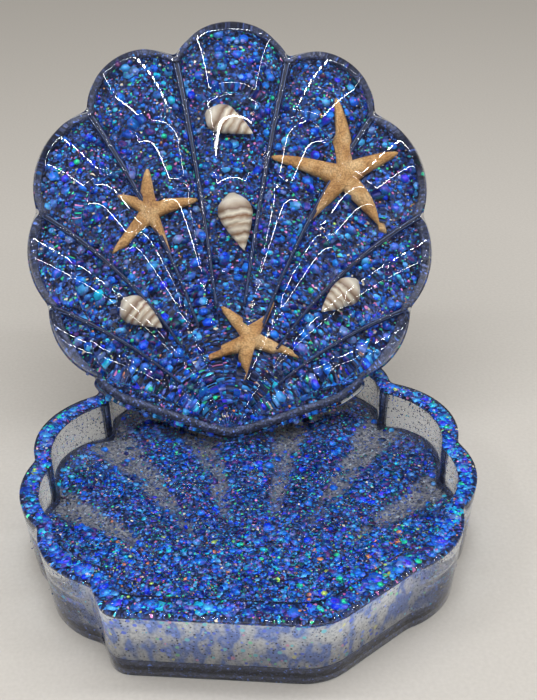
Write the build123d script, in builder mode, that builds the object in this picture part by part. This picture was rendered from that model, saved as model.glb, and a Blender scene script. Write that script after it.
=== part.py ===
"""Scallop shell trinket box, cast in clear resin over blue flakes.

Two castings share one shell outline: a tray and a lid. The lid stands in the tray on its narrow
end and leans back, with its ribbed face to the front. Dried starfish and small sea snails are
set in the lid. The tray's nose stands a little right of the middle and the lid's in the middle.
X is to the right, Y to the back and Z up. The origin is on the tray's underside, below its middle.
"""

from build123d import *
from math import atan2, cos, degrees, hypot, radians, sin, sqrt
import os

# Shell outline, seen from above. Points are (side, along) from the narrow tip, on the right half
NOTCHES = [(18.7, 126.2), (47.0, 107.2), (62.2, 73.2), (57.6, 42.6), (41.5, 19.5)]
LOBE_BULGE = [0.32, 0.29, 0.20, 0.155, 0.16]
NOTCH_RADIUS = 2.4

# Narrow end of the lid: two ears, two nearly straight edges and a small round nose
EAR_TIP = (43.3, 18.2)
EAR_END = (40.9, 15.0)
EDGE_KNEE = (35.6, 11.4)
NOSE_END = (7.0, 1.6)
KNEE_RADIUS = 20.0

# Narrow end of the tray: no ears, a blunt nose right of the middle and a corner on the left
TRAY_NOSE = (17.5, 0.8)
TRAY_CORNER = (-37.5, 8.2)
TRAY_NOSE_RADIUS = 16.0
TRAY_CORNER_RADIUS = 6.0

# Valleys between the ribs run from the umbo to the notches, each bent towards one point
UMBO = (0.0, 3.0)
VALLEY_BEND = [(6.8, 72.0), (14.0, 60.0), (22.0, 50.0), (24.0, 30.0), (24.0, 16.5)]
RIB_OVERLAP = 0.35
RIB_SINK = 0.8
RIB_START = 0.12
RIB_END = 1.16
RIB_BOW = 0.28
GROWTH_LINES = [0.46, 0.54, 0.625, 0.735, 0.865]
GROWTH_STEP = 0.06
STEP_RUN = 0.006

# Lid
LID_THICKNESS = 4.8
LID_RIB_FULLNESS = 0.46
CLEAR_OVER_FLAKES = 2.2
CLEAR_EDGE = 2.6
CROWN_RISE = 10.0
CROWN_INSET = 12.0
CROWN_TURNS = [15, 30, 45, 60, 75, 83]
BACK_CHAMFER = 1.4

# Tray
TRAY_HEIGHT = 23.2
FOOT_INSET = 2.1
WALL = 5.5
CAVITY_FORWARD = 1.0
CAVITY_NOSE_BACK = 3.2
FLOOR_TOP = 9.2
FLOOR_RIB_FULLNESS = 0.13
FLOOR_FLAKES = 2.6
RIM_FLAKES = 1.5
FOOT_POUR = 6.0

# Starfish in the lid: (side, along) of the middle and of the five tips, and how wide an arm starts
LARGE_MIDDLE = (37.5, 86.1)
LARGE_TIPS = [(33.9, 112.5), (13.5, 92.5), (23.8, 69.0), (49.6, 68.1), (54.7, 93.3)]
LARGE_ARM = 7.0
LEFT_MIDDLE = (-26.0, 74.1)
LEFT_TIPS = [(-26.4, 88.3), (-37.5, 78.3), (-37.0, 60.6), (-17.6, 57.0), (-11.5, 77.8)]
LEFT_ARM = 5.6
LOWER_MIDDLE = (6.3, 32.5)
LOWER_TIPS = [(-2.2, 43.1), (-7.4, 25.8), (4.9, 18.3), (21.4, 27.2), (14.8, 44.3)]
LOWER_ARM = 5.0
STAR_DEPTH = 2.7
STAR_HEIGHT = 0.34
ARM_STATIONS = [(0.0, 1.0), (0.3, 0.78), (0.7, 0.52), (1.0, 0.20)]

# Sea snails in the lid: (side, along) of the open end and of the spire, and the widest width
TOP_SNAIL = ((-7.4, 106.8), (6.2, 99.8), 9.6)
CENTER_SNAIL = ((0.2, 79.7), (3.7, 61.3), 10.4)
LEFT_SNAIL = ((-34.3, 44.2), (-22.2, 35.3), 9.0)
RIGHT_SNAIL = ((41.1, 50.7), (29.7, 40.6), 9.0)
SNAIL_DEPTH = 1.0
SNAIL_FLATNESS = 0.62
WHORLS = [(0.14, 0.30), (0.28, 0.52), (0.44, 0.74)]
WHORL_PEAKS = [(0.05, 0.20), (0.20, 0.44), (0.35, 0.67)]
SNAIL_BELLY = (0.68, 1.0)
SNAIL_MOUTH = (1.0, 0.34)

# How the lid stands in the tray: degrees, and where its tip is
LEAN = 38.5
TURN = 0.5
ROLL = 2.9
TIP = (-5.4, 22.8, 13.7)

# Sizes that follow
SHELL_LENGTH = NOTCHES[0][1] + LOBE_BULGE[0] * 2 * NOTCHES[0][0]
HALF_WIDTH = 65.0
MIDDLE = SHELL_LENGTH / 2
RIM_LOW = TRAY_HEIGHT - RIM_FLAKES
BED_LOW = FLOOR_TOP - FLOOR_FLAKES

TRAY_PLANE = Plane(origin=(0, -MIDDLE, 0))
FLOOR_PLANE = TRAY_PLANE.offset(FLOOR_TOP)
LID_PLANE = Plane(Pos(*TIP) * Rot(Z=TURN) * Rot(X=-LEAN) * Rot(Y=ROLL) * Plane.XZ.location)
LID_MIDDLE = Plane(origin=LID_PLANE.origin, x_dir=LID_PLANE.z_dir, z_dir=LID_PLANE.x_dir)


def lobe_top(start, end, bulge):
    """The point halfway round a lobe's arc."""
    side, along = end[0] - start[0], end[1] - start[1]
    return ((start[0] + end[0]) / 2 - along * bulge, (start[1] + end[1]) / 2 + side * bulge)


def shell_face(shrink=0.0, tray=False, nose_back=0.0):
    """The outline of the lid or the tray as a face.

    It is drawn smaller about its middle by shrink at its sides. The tray's narrow end is moved
    back by nose_back.
    """
    share = 1 - shrink / HALF_WIDTH
    ends = [NOTCHES[-1], TRAY_NOSE, TRAY_CORNER]
    last, nose, corner = ((side, along + nose_back) for side, along in ends)
    notches = NOTCHES[:-1] + [last]

    def at(point, mirror=1):
        return (mirror * point[0] * share, MIDDLE + (point[1] - MIDDLE) * share)

    with BuildSketch() as shell:
        with BuildLine():
            ThreePointArc(at(notches[0], -1), at((0, SHELL_LENGTH)), at(notches[0]))
            for mirror in (1, -1):
                for start, end, bulge in zip(notches, notches[1:], LOBE_BULGE[1:]):
                    middle = lobe_top(start, end, bulge)
                    ThreePointArc(at(start, mirror), at(middle, mirror), at(end, mirror))
            if tray:
                Polyline(at(last), at(nose), at(corner), at(last, -1))
            else:
                for mirror in (1, -1):
                    ThreePointArc(at(last, mirror), at(EAR_TIP, mirror), at(EAR_END, mirror))
                    Polyline(at(EAR_END, mirror), at(EDGE_KNEE, mirror), at(NOSE_END, mirror))
                ThreePointArc(at(NOSE_END, -1), at((0, 0)), at(NOSE_END))
        make_face()

        def corners(*points):
            places = [at(p, mirror) for p in points for mirror in (1, -1)]
            return [v for v in shell.vertices() if any(hypot(v.X - x, v.Y - y) < 0.01 for x, y in places)]

        fillet(corners(*notches[:4]), NOTCH_RADIUS)
        if tray:
            fillet(corners(last), NOTCH_RADIUS)
            fillet(corners(nose), TRAY_NOSE_RADIUS)
            fillet(corners(corner), TRAY_CORNER_RADIUS)
        else:
            fillet(corners(EDGE_KNEE), KNEE_RADIUS)
    return shell.sketch


def valley(number, along):
    """A point on a valley: number 1 to 5 from the top on the right, negative on the left."""
    end, bend = NOTCHES[abs(number) - 1], VALLEY_BEND[abs(number) - 1]
    rest = 1 - along
    side, up = (rest**2 * u + 2 * rest * along * b + along**2 * e for u, b, e in zip(UMBO, bend, end))
    return (side if number > 0 else -side, up)


def rib(base_plane, left, right, fullness):
    """One rib between two valleys, lofted along its curve with a small step down at each growth line."""
    stations = [(RIB_START, 1.0), (RIB_BOW, 1.0), (RIB_END, 1.0)]
    stations += [(along - STEP_RUN, 1.0) for along in GROWTH_LINES]
    stations += [(along + STEP_RUN, 1 - GROWTH_STEP) for along in GROWTH_LINES]
    with BuildPart() as body:
        for along, swell in sorted(stations):
            start, end = valley(left, along), valley(right, along)
            side, up = end[0] - start[0], end[1] - start[1]
            width = hypot(side, up)
            half = width / 2 + RIB_OVERLAP
            rise = fullness * half * swell
            round_radius = (half**2 + rise**2) / (2 * rise)
            foot = sqrt(round_radius**2 - (round_radius - rise - RIB_SINK) ** 2)
            origin = base_plane.from_local_coords(((start[0] + end[0]) / 2, (start[1] + end[1]) / 2, 0))
            across = base_plane.from_local_coords((side, up, 0)) - base_plane.origin
            onward = base_plane.from_local_coords((up, -side, 0)) - base_plane.origin
            with BuildSketch(Plane(origin=origin, x_dir=across, z_dir=onward)):
                with BuildLine():
                    ThreePointArc((-foot, -RIB_SINK), (0, rise), (foot, -RIB_SINK))
                    Line((foot, -RIB_SINK), (-foot, -RIB_SINK))
                make_face()
        loft(ruled=True)
    return body.part


def tray_layer(low, high):
    """The solid tray between two heights, wider towards the rim."""
    with BuildPart() as layer:
        for height in (low, high):
            with BuildSketch(TRAY_PLANE.offset(height)):
                add(shell_face(FOOT_INSET * (1 - height / TRAY_HEIGHT), tray=True))
        loft(ruled=True)
    return layer.part


def cavity(low, high):
    """The tray's hollow between two heights, with more wall left at the nose."""
    with BuildPart() as hollow:
        with BuildSketch(Plane(origin=(0, -MIDDLE - CAVITY_FORWARD, low))):
            add(shell_face(WALL, tray=True, nose_back=CAVITY_NOSE_BACK))
        extrude(amount=high - low)
    return hollow.part


def starfish(middle, tips, arm_width):
    """A dried starfish: five domed arms that taper from one middle, flat underneath."""
    with BuildPart() as star:
        for tip in tips:
            side, along = tip[0] - middle[0], tip[1] - middle[1]
            onward = LID_PLANE.from_local_coords((side, along, 0)) - LID_PLANE.origin
            across = LID_PLANE.from_local_coords((-along, side, 0)) - LID_PLANE.origin
            with BuildPart() as arm:
                for share, taper in ARM_STATIONS:
                    at = (middle[0] + side * share, middle[1] + along * share, -STAR_DEPTH)
                    half = arm_width / 2 * taper
                    origin = LID_PLANE.from_local_coords(at)
                    with BuildSketch(Plane(origin=origin, x_dir=across, z_dir=onward)):
                        with BuildLine():
                            ThreePointArc((-half, 0), (0, 2 * half * STAR_HEIGHT), (half, 0))
                            Line((half, 0), (-half, 0))
                        make_face()
                loft(ruled=True)
            add(arm.part)
    return star.part


def snail(mouth, spire, width):
    """A small sea snail lying on its side, spun from its whorls and pressed a little flat."""
    side, along = mouth[0] - spire[0], mouth[1] - spire[1]
    length, radius = hypot(side, along), width / 2
    sutures = [(0, 0)] + [(length * up, radius * out) for up, out in WHORLS]
    peaks = [(length * up, radius * out) for up, out in WHORL_PEAKS]
    belly = (length * SNAIL_BELLY[0], radius * SNAIL_BELLY[1])
    lip = (length * SNAIL_MOUTH[0], radius * SNAIL_MOUTH[1])
    with BuildPart() as shell:
        with BuildSketch():
            with BuildLine():
                for start, peak, end in zip(sutures, peaks, sutures[1:]):
                    ThreePointArc(start, peak, end)
                ThreePointArc(sutures[-1], belly, lip)
                Polyline(lip, (lip[0], 0), (0, 0))
            make_face()
        revolve(axis=Axis.X)
        scale(by=(1, 1, SNAIL_FLATNESS))
    turn = degrees(atan2(along, side))
    return LID_PLANE.location * Pos(*spire, -SNAIL_DEPTH) * Rot(Z=turn) * shell.part


# Tray
with BuildPart() as foot_pour:
    add(tray_layer(0, FOOT_POUR))

with BuildPart() as tray_casting:
    add(tray_layer(FOOT_POUR, RIM_LOW))
    add(cavity(BED_LOW, RIM_LOW), mode=Mode.SUBTRACT)

with BuildPart() as rim_flakes:
    add(tray_layer(RIM_LOW, TRAY_HEIGHT))
    add(cavity(RIM_LOW, TRAY_HEIGHT), mode=Mode.SUBTRACT)

with BuildPart() as floor_flakes:
    add(cavity(BED_LOW, FLOOR_TOP))
    above_bed = cavity(BED_LOW, TRAY_HEIGHT)
    middle_swell = rib(FLOOR_PLANE, -1, 1, FLOOR_RIB_FULLNESS) & above_bed
    left_swells = [rib(FLOOR_PLANE, -n - 1, -n, FLOOR_RIB_FULLNESS) & above_bed for n in range(1, 5)]
    add(middle_swell)
    add(left_swells)
    mirror(left_swells, about=Plane.YZ)
    add(above_bed, mode=Mode.INTERSECT)

# Set in the lid
with BuildPart() as starfish_large:
    add(starfish(LARGE_MIDDLE, LARGE_TIPS, LARGE_ARM))

with BuildPart() as starfish_left:
    add(starfish(LEFT_MIDDLE, LEFT_TIPS, LEFT_ARM))

with BuildPart() as starfish_lower:
    add(starfish(LOWER_MIDDLE, LOWER_TIPS, LOWER_ARM))

with BuildPart() as snail_top:
    add(snail(*TOP_SNAIL))

with BuildPart() as snail_center:
    add(snail(*CENTER_SNAIL))

with BuildPart() as snail_left:
    add(snail(*LEFT_SNAIL))

with BuildPart() as snail_right:
    add(snail(*RIGHT_SNAIL))

sealed = [starfish_large, starfish_left, starfish_lower, snail_top, snail_center, snail_left, snail_right]

# Lid
with BuildPart() as crown:
    with BuildSketch(LID_PLANE.offset(-RIB_SINK)):
        add(shell_face())
    for turn in CROWN_TURNS:
        with BuildSketch(LID_PLANE.offset(CROWN_RISE * sin(radians(turn)))):
            add(shell_face(CROWN_INSET * (1 - cos(radians(turn)))))
    loft(ruled=True)

with BuildPart() as lid_flakes:
    with BuildSketch(LID_PLANE.offset(-LID_THICKNESS)):
        add(shell_face(CLEAR_EDGE))
    extrude(amount=LID_THICKNESS - CLEAR_OVER_FLAKES)

with BuildPart() as lid_clear:
    with BuildSketch(LID_PLANE.offset(-LID_THICKNESS)):
        add(shell_face(BACK_CHAMFER))
    with BuildSketch(LID_PLANE.offset(BACK_CHAMFER - LID_THICKNESS)):
        add(shell_face())
    loft(ruled=True)
    with BuildSketch(LID_PLANE.offset(BACK_CHAMFER - LID_THICKNESS)):
        add(shell_face())
    extrude(amount=LID_THICKNESS - BACK_CHAMFER)
    middle_rib = rib(LID_PLANE, -1, 1, LID_RIB_FULLNESS) & crown.part
    left_ribs = [rib(LID_PLANE, -n - 1, -n, LID_RIB_FULLNESS) & crown.part for n in range(1, 5)]
    add(middle_rib)
    add(left_ribs)
    mirror(left_ribs, about=LID_MIDDLE)
    add(lid_flakes.part, mode=Mode.SUBTRACT)
    for piece in sealed:
        add(piece.part, mode=Mode.SUBTRACT)

with lid_flakes:
    for piece in sealed:
        add(piece.part, mode=Mode.SUBTRACT)

os.makedirs("parts", exist_ok=True)

foot_pour.part.label = "foot_pour"
tray_casting.part.label = "tray_casting"
rim_flakes.part.label = "rim_flakes"
floor_flakes.part.label = "floor_flakes"
lid_clear.part.label = "lid_clear"
lid_flakes.part.label = "lid_flakes"
starfish_large.part.label = "starfish_large"
starfish_left.part.label = "starfish_left"
starfish_lower.part.label = "starfish_lower"
snail_top.part.label = "snail_top"
snail_center.part.label = "snail_center"
snail_left.part.label = "snail_left"
snail_right.part.label = "snail_right"

export_step(foot_pour.part, "parts/foot_pour.step")
export_step(tray_casting.part, "parts/tray_casting.step")
export_step(rim_flakes.part, "parts/rim_flakes.step")
export_step(floor_flakes.part, "parts/floor_flakes.step")
export_step(lid_clear.part, "parts/lid_clear.step")
export_step(lid_flakes.part, "parts/lid_flakes.step")
export_step(starfish_large.part, "parts/starfish_large.step")
export_step(starfish_left.part, "parts/starfish_left.step")
export_step(starfish_lower.part, "parts/starfish_lower.step")
export_step(snail_top.part, "parts/snail_top.step")
export_step(snail_center.part, "parts/snail_center.step")
export_step(snail_left.part, "parts/snail_left.step")
export_step(snail_right.part, "parts/snail_right.step")
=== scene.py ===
"""Scallop shell trinket box of clear casting resin and holographic blue flakes.

A tray and a lid share one shell outline. Both are built here as smooth clear castings, with the
flakes inside them as thin hexagons, and dried starfish and sea snails set in the lid.
"""

import logging
import math
from dataclasses import dataclass, field
from enum import Enum

import bmesh
import bpy
import numpy as np
from mathutils import Euler, Matrix, Vector
from mathutils.kdtree import KDTree


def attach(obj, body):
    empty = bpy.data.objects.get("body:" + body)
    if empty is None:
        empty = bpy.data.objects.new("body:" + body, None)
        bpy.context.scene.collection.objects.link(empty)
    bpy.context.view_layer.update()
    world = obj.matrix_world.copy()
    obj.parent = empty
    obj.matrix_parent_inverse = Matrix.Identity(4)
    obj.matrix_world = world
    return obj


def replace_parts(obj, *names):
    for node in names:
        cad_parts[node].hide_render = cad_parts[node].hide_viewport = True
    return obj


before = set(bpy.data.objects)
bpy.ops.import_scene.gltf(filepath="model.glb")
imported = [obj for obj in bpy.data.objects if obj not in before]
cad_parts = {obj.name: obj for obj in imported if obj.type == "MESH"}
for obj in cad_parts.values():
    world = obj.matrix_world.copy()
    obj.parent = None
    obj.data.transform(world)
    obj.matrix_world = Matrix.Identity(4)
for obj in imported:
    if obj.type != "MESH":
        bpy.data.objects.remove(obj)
log = logging.getLogger("shell_box")
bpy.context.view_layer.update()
MM = 0.001
# Vertices closer than this, in metres, are one
MERGE = 2e-6
Point = tuple[float, float]
Face = tuple[int, ...]
Stops = tuple[tuple[float, str], ...]


class Body(Enum):
    """The two rigid bodies of the part."""

    BASE = "base"
    LID = "lid"


class Slot(Enum):
    """The record's material slots."""

    CLEAR = "clear_resin"
    BLUE = "blue_resin"
    FLAKES = "blue_flakes"
    STARFISH = "starfish"
    SNAIL = "snail_shell"


# Colour and node helpers


def srgb(code: str) -> tuple[float, float, float, float]:
    """Turns an sRGB hex code into a linear colour.

    Args:
        code: Six hex digits, such as "1C3FA8".

    Returns:
        Linear red, green and blue, and alpha 1.
    """
    parts = [int(code[i : i + 2], 16) / 255 for i in (0, 2, 4)]
    linear = [c / 12.92 if c <= 0.04045 else ((c + 0.055) / 1.055) ** 2.4 for c in parts]
    return (linear[0], linear[1], linear[2], 1.0)


class Graph:
    """The node tree of a material or a world, with one short call to add a node and its links."""

    def __init__(self, owner: bpy.types.ID) -> None:
        """Empties a node tree.

        Args:
            owner: The material or the world that it belongs to.
        """
        owner.use_nodes = True
        self.owner = owner
        self.tree = owner.node_tree
        self.tree.nodes.clear()

    def add(
        self,
        kind: str,
        settings: dict | None = None,
        stops: Stops = (),
        hard: bool = False,
        **sockets: object,
    ) -> bpy.types.Node:
        """Adds one node.

        Args:
            kind: The node's type, without its ShaderNode prefix.
            settings: Properties of the node itself.
            stops: Positions and hex colours, where the node is a colour ramp.
            hard: Whether the ramp's colours change in steps.
            **sockets: Input values by the socket's name, with _ for a space, or by its number, such
                as i0. An output socket is linked, and a node is linked by its first output.

        Returns:
            The new node.
        """
        node = self.tree.nodes.new("ShaderNode" + kind)
        for key, value in (settings or {}).items():
            setattr(node, key, value)
        if stops:
            ramp = node.color_ramp
            ramp.interpolation = "CONSTANT" if hard else "LINEAR"
            while len(ramp.elements) < len(stops):
                ramp.elements.new(1.0)
            for element, (position, code) in zip(ramp.elements, stops):
                element.position = position
                element.color = srgb(code)
        for key, value in sockets.items():
            numbered = key[0] == "i" and key[1:].isdigit()
            socket = node.inputs[int(key[1:]) if numbered else key.replace("_", " ")]
            if isinstance(value, bpy.types.Node):
                value = value.outputs[0]
            if isinstance(value, bpy.types.NodeSocket):
                self.tree.links.new(value, socket)
            else:
                socket.default_value = value
        return node

    def surface(self, shader: bpy.types.Node) -> bpy.types.ID:
        """Links a shader to the output.

        Args:
            shader: The last shader node.

        Returns:
            The material or the world.
        """
        is_world = isinstance(self.owner, bpy.types.World)
        self.add("OutputWorld" if is_world else "OutputMaterial", Surface=shader)
        return self.owner


# Finishes


@dataclass(frozen=True)
class ClearResin:
    """Clear epoxy casting resin, poured in a glossy silicone mould.

    It is water clear with a faint cool cast. The mould leaves a polished skin with a very slight
    waviness, so highlights have crisp but not perfectly straight edges.
    """

    tint: str = "F4F8FC"
    ior: float = 1.5
    roughness: float = 0.015
    wave_mm: float = 9.0
    wave_height_mm: float = 0.4

    def build(self) -> bpy.types.Material:
        """Makes the material. Shadow rays pass straight through it to what is inside.

        Returns:
            The material.
        """
        g = Graph(bpy.data.materials.new("clear_resin"))
        place = g.add("TexCoord").outputs["Object"]
        noise = g.add("TexNoise", Vector=place, Scale=1 / (self.wave_mm * MM), Detail=1.0)
        bump = g.add("Bump", Strength=0.05, Distance=self.wave_height_mm * MM, Height=noise)
        resin = g.add(
            "BsdfPrincipled",
            Base_Color=srgb(self.tint),
            Roughness=self.roughness,
            IOR=self.ior,
            Transmission_Weight=1.0,
            Normal=bump,
        )
        open_way = g.add("BsdfTransparent", Color=srgb(self.tint))
        shadow = g.add("LightPath").outputs["Is Shadow Ray"]
        return g.surface(g.add("MixShader", Fac=shadow, i1=resin, i2=open_way))


# From dark flakes over blue and azure to the few that flash cyan, green, gold, pink and white
FLAKE_STOPS = (
    (0.00, "060C28"),
    (0.12, "0E2670"),
    (0.26, "1448B4"),
    (0.40, "1868EC"),
    (0.49, "0838FF"),
    (0.56, "2488FF"),
    (0.65, "52B8FF"),
    (0.72, "4478D8"),
    (0.80, "7C98DC"),
    (0.85, "20DCFF"),
    (0.895, "28F09A"),
    (0.925, "D0F450"),
    (0.94, "FFA040"),
    (0.96, "FF7CC4"),
    (0.98, "FFFFFF"),
)
# What the embossed film splits light into
RAINBOW_STOPS = (
    (0.30, "1030FF"),
    (0.42, "1E9CFF"),
    (0.50, "38F0E0"),
    (0.57, "9070FF"),
    (0.64, "FF80C0"),
    (0.72, "2048FF"),
)


@dataclass(frozen=True)
class HexFlakes:
    """Holographic polyester glitter, punched as hexagons from aluminised film.

    Most flakes are blue. Each lies at its own tilt, so some mirror a light and others stay dark,
    and the embossed film splits light, so a few flash pink, gold, green or white. The embossing is
    far too fine to show, so it is drawn 0.35 mm wide.
    """

    metallic: float = 0.3
    roughness: float = 0.25
    sheen_mm: float = 2.4
    sheen_share: float = 0.14
    emboss_mm: float = 0.35
    emboss_height_mm: float = 0.05

    def build(self) -> bpy.types.Material:
        """Makes the material. The tone attribute holds one random number for each flake.

        Returns:
            The material.
        """
        g = Graph(bpy.data.materials.new("hex_flakes"))
        tone = g.add("Attribute", {"attribute_name": "tone"}).outputs["Fac"]
        colour = g.add("ValToRGB", stops=FLAKE_STOPS, hard=True, Fac=tone)
        place = g.add("TexCoord").outputs["Object"]
        drift = g.add("TexNoise", Vector=place, Scale=1 / (self.sheen_mm * MM), Detail=0.0)
        split = g.add("ValToRGB", stops=RAINBOW_STOPS, Fac=drift)
        both = g.add("Mix", {"data_type": "RGBA"}, i0=self.sheen_share, i6=colour, i7=split)
        film = g.add("TexVoronoi", Vector=place, Scale=1 / (self.emboss_mm * MM))
        bump = g.add("Bump", Strength=0.2, Distance=self.emboss_height_mm * MM, Height=film)
        shader = g.add(
            "BsdfPrincipled",
            Base_Color=both.outputs[2],
            Metallic=self.metallic,
            Roughness=self.roughness,
            Normal=bump,
        )
        return g.surface(shader)


# Navy with blue points and a few coloured sparks
GLITTER_STOPS = (
    (0.0, "0A1230"),
    (0.25, "0E2050"),
    (0.50, "13306C"),
    (0.70, "1A4694"),
    (0.84, "2264C8"),
    (0.92, "3C94F0"),
    (0.955, "48D8F8"),
    (0.968, "40F0A0"),
    (0.980, "F490D0"),
    (0.990, "FFF0D0"),
)
# Grey dust with a few blue and white grains
DUST_STOPS = (
    (0.0, "20263C"),
    (0.20, "5C606E"),
    (0.45, "84848C"),
    (0.72, "A09E9E"),
    (0.90, "4C64A8"),
    (0.97, "C8D8E8"),
)
# Slate blue: the foot's own colour, and painted shade for the lid's edge band and the notch columns
FOOT_AND_SHADE_STOPS = (
    (0.0, "20263C"),
    (0.40, "2E3550"),
    (0.70, "3E476A"),
    (0.90, "4F5C8C"),
    (0.975, "5F80D8"),
)


@dataclass(frozen=True)
class FineGlitter:
    """Fine blue glitter settled in resin, too small to see as single flakes from arm's length.

    It reads as navy with small blue points and a few coloured sparks. Where the bare attribute is
    high the blue is worn thin, and grey dust lies over clear resin. Real grains are about 0.2 mm,
    and they are drawn two or three times as wide so that they show.
    """

    name: str = "fine_glitter"
    grain_mm: float = 0.6
    stops: Stops = GLITTER_STOPS
    tilt: float = 0.9
    patch_mm: float = 4.0

    def worn(self, g: Graph, place: bpy.types.NodeSocket) -> bpy.types.Node:
        """How much of the blue is worn away: the bare attribute with ragged edges.

        Args:
            g: The material's graph.
            place: Where a point is on the piece.

        Returns:
            A node with the share from 0 to 1.
        """
        bare = g.add("Attribute", {"attribute_name": "bare"}).outputs["Fac"]
        patch = g.add("TexNoise", Vector=place, Scale=1 / (self.patch_mm * MM), Detail=3.0)
        ragged = g.add("Math", {"operation": "MULTIPLY_ADD"}, i0=patch, i1=0.9, i2=-0.45)
        share = g.add("Math", {"operation": "ADD", "use_clamp": True}, i0=bare, i1=ragged)
        thin = g.add("ValToRGB", stops=((0.35, "000000"), (0.65, "FFFFFF")), Fac=share)
        return g.add("Math", {"operation": "MULTIPLY"}, i0=thin, i1=bare)

    def build(self) -> bpy.types.Material:
        """Makes the material from random cells, each with its own colour and tilt.

        Returns:
            The material.
        """
        g = Graph(bpy.data.materials.new(self.name))
        place = g.add("TexCoord").outputs["Object"]
        grains = g.add("TexVoronoi", Vector=place, Scale=1 / (self.grain_mm * MM))
        pick = g.add("SeparateColor", Color=grains.outputs["Color"])
        blue = g.add("ValToRGB", stops=self.stops, hard=True, Fac=pick.outputs["Red"])
        dust = g.add("ValToRGB", stops=DUST_STOPS, hard=True, Fac=pick.outputs["Green"])
        both = g.add("Mix", {"data_type": "RGBA"}, i0=self.worn(g, place), i6=blue, i7=dust)
        any_way = g.add(
            "VectorMath", {"operation": "SUBTRACT"}, i0=grains.outputs["Color"], i1=(0.5, 0.5, 0.5)
        )
        lean = g.add("VectorMath", {"operation": "SCALE"}, i0=any_way, Scale=self.tilt)
        normal = g.add("NewGeometry").outputs["Normal"]
        tilted = g.add("VectorMath", {"operation": "ADD"}, i0=normal, i1=lean)
        unit = g.add("VectorMath", {"operation": "NORMALIZE"}, i0=tilted)
        shader = g.add(
            "BsdfPrincipled", Base_Color=both.outputs[2], Metallic=0.25, Roughness=0.3, Normal=unit
        )
        return g.surface(shader)


# Milky grey with blue blushes of painted flake reflection, darker mottling, dark grains, and pale
# sparks of all hues
FLAKE_REFLECTION_STOPS = (
    (0.38, "FCFAF6"),
    (0.50, "E4E6F0"),
    (0.58, "90ACF4"),
    (0.66, "A8BCF8"),
    (0.72, "F0F0F2"),
)
MOTTLE_STOPS = ((0.35, "B4B6C0"), (0.50, "F0F0F0"), (0.65, "FFFFFF"))
GRAIN_STOPS = ((0.0, "10162C"), (0.4, "3A4568"), (0.8, "5C6C98"), (0.92, "58C8E0"))
SPARK_STOPS = (
    (0.0, "7088F0"),
    (0.35, "A0B8FF"),
    (0.55, "90E0E8"),
    (0.70, "9CE4B8"),
    (0.82, "F0B0CC"),
    (0.92, "F0ECA8"),
)


@dataclass(frozen=True)
class WallHaze:
    """The faint haze in the tray's clear walls: micro-bubbles, dust and single grains of glitter.

    Against a pale background it looks milky grey, with blue blushes that are painted reflection of the
    flakes beside it, and a sprinkle of dark grains. It is thickest in the nose, where the wall is.
    Real micro-bubbles are about 0.1 mm, so the mottling stands for groups of them.
    """

    flake_reflection_mm: float = 3.6
    mottle_mm: float = 0.7
    grain_mm: float = 0.9
    spark_mm: float = 1.5
    grain_reach: float = 0.34

    def milk(self, g: Graph, place: bpy.types.NodeSocket) -> bpy.types.NodeSocket:
        """The haze's colour, with the flakes' painted blue reflection, without its grains.

        Args:
            g: The material's graph.
            place: Where a point is on the piece.

        Returns:
            The colour.
        """
        tall = g.add("Mapping", {"vector_type": "POINT"}, Vector=place, Scale=(1.0, 1.0, 0.55))
        # Blue blushes of painted reflection from the flakes beside the wall
        flake_reflection = g.add("TexNoise", Vector=tall, Scale=1 / (self.flake_reflection_mm * MM), Detail=1.5)
        fine = g.add("TexNoise", Vector=place, Scale=1 / (self.mottle_mm * MM), Detail=2.0)
        blue = g.add("ValToRGB", stops=FLAKE_REFLECTION_STOPS, Fac=flake_reflection)
        mottle = g.add("ValToRGB", stops=MOTTLE_STOPS, Fac=fine)
        both = g.add("Mix", {"data_type": "RGBA", "blend_type": "MULTIPLY"}, i0=0.75, i6=blue, i7=mottle)
        return both.outputs[2]

    def build(self) -> bpy.types.Material:
        """Makes the material: see-through by the cover attribute, and closed at the grains.

        Returns:
            The material.
        """
        g = Graph(bpy.data.materials.new("wall_haze"))
        place = g.add("TexCoord").outputs["Object"]
        cover = g.add("Attribute", {"attribute_name": "cover"}).outputs["Fac"]

        grains = g.add("TexVoronoi", Vector=place, Scale=1 / (self.grain_mm * MM))
        size = g.add("SeparateColor", Color=grains.outputs["Color"])
        reach = g.add("Math", {"operation": "MULTIPLY"}, i0=size.outputs["Blue"], i1=self.grain_reach)
        inside = g.add("Math", {"operation": "LESS_THAN"}, i0=grains, i1=reach)
        dark = g.add("ValToRGB", stops=GRAIN_STOPS, hard=True, Fac=size.outputs["Red"])
        dusty = g.add("Mix", {"data_type": "RGBA"}, i0=inside, i6=self.milk(g, place), i7=dark)

        sparks = g.add("TexVoronoi", Vector=place, Scale=1 / (self.spark_mm * MM))
        pick = g.add("SeparateColor", Color=sparks.outputs["Color"])
        wide = g.add("Math", {"operation": "MULTIPLY_ADD"}, i0=pick.outputs["Blue"], i1=1.1, i2=-0.50)
        nose = g.add("Math", {"operation": "MULTIPLY"}, i0=wide, i1=cover)
        lit = g.add("Math", {"operation": "LESS_THAN"}, i0=sparks, i1=nose)
        tint = g.add("ValToRGB", stops=SPARK_STOPS, hard=True, Fac=pick.outputs["Red"])
        colour = g.add("Mix", {"data_type": "RGBA"}, i0=lit, i6=dusty.outputs[2], i7=tint)

        veil = g.add("BsdfPrincipled", Base_Color=colour.outputs[2], Roughness=0.6)
        grain = g.add("Math", {"operation": "MAXIMUM"}, i0=inside, i1=cover)
        closed = g.add("Math", {"operation": "MAXIMUM"}, i0=lit, i1=grain)
        gap = g.add("BsdfTransparent")
        return g.surface(g.add("MixShader", Fac=closed, i1=gap, i2=veil))


# Painted shade in the middle, with a thin painted highlight line on each side
GROOVE_SHADE_STOPS = (
    (0.0, "0A1230"),
    (0.40, "0E1A40"),
    (0.52, "8CA4D8"),
    (0.60, "121E48"),
    (0.85, "0C1638"),
    (1.0, "12245A"),
)


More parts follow.
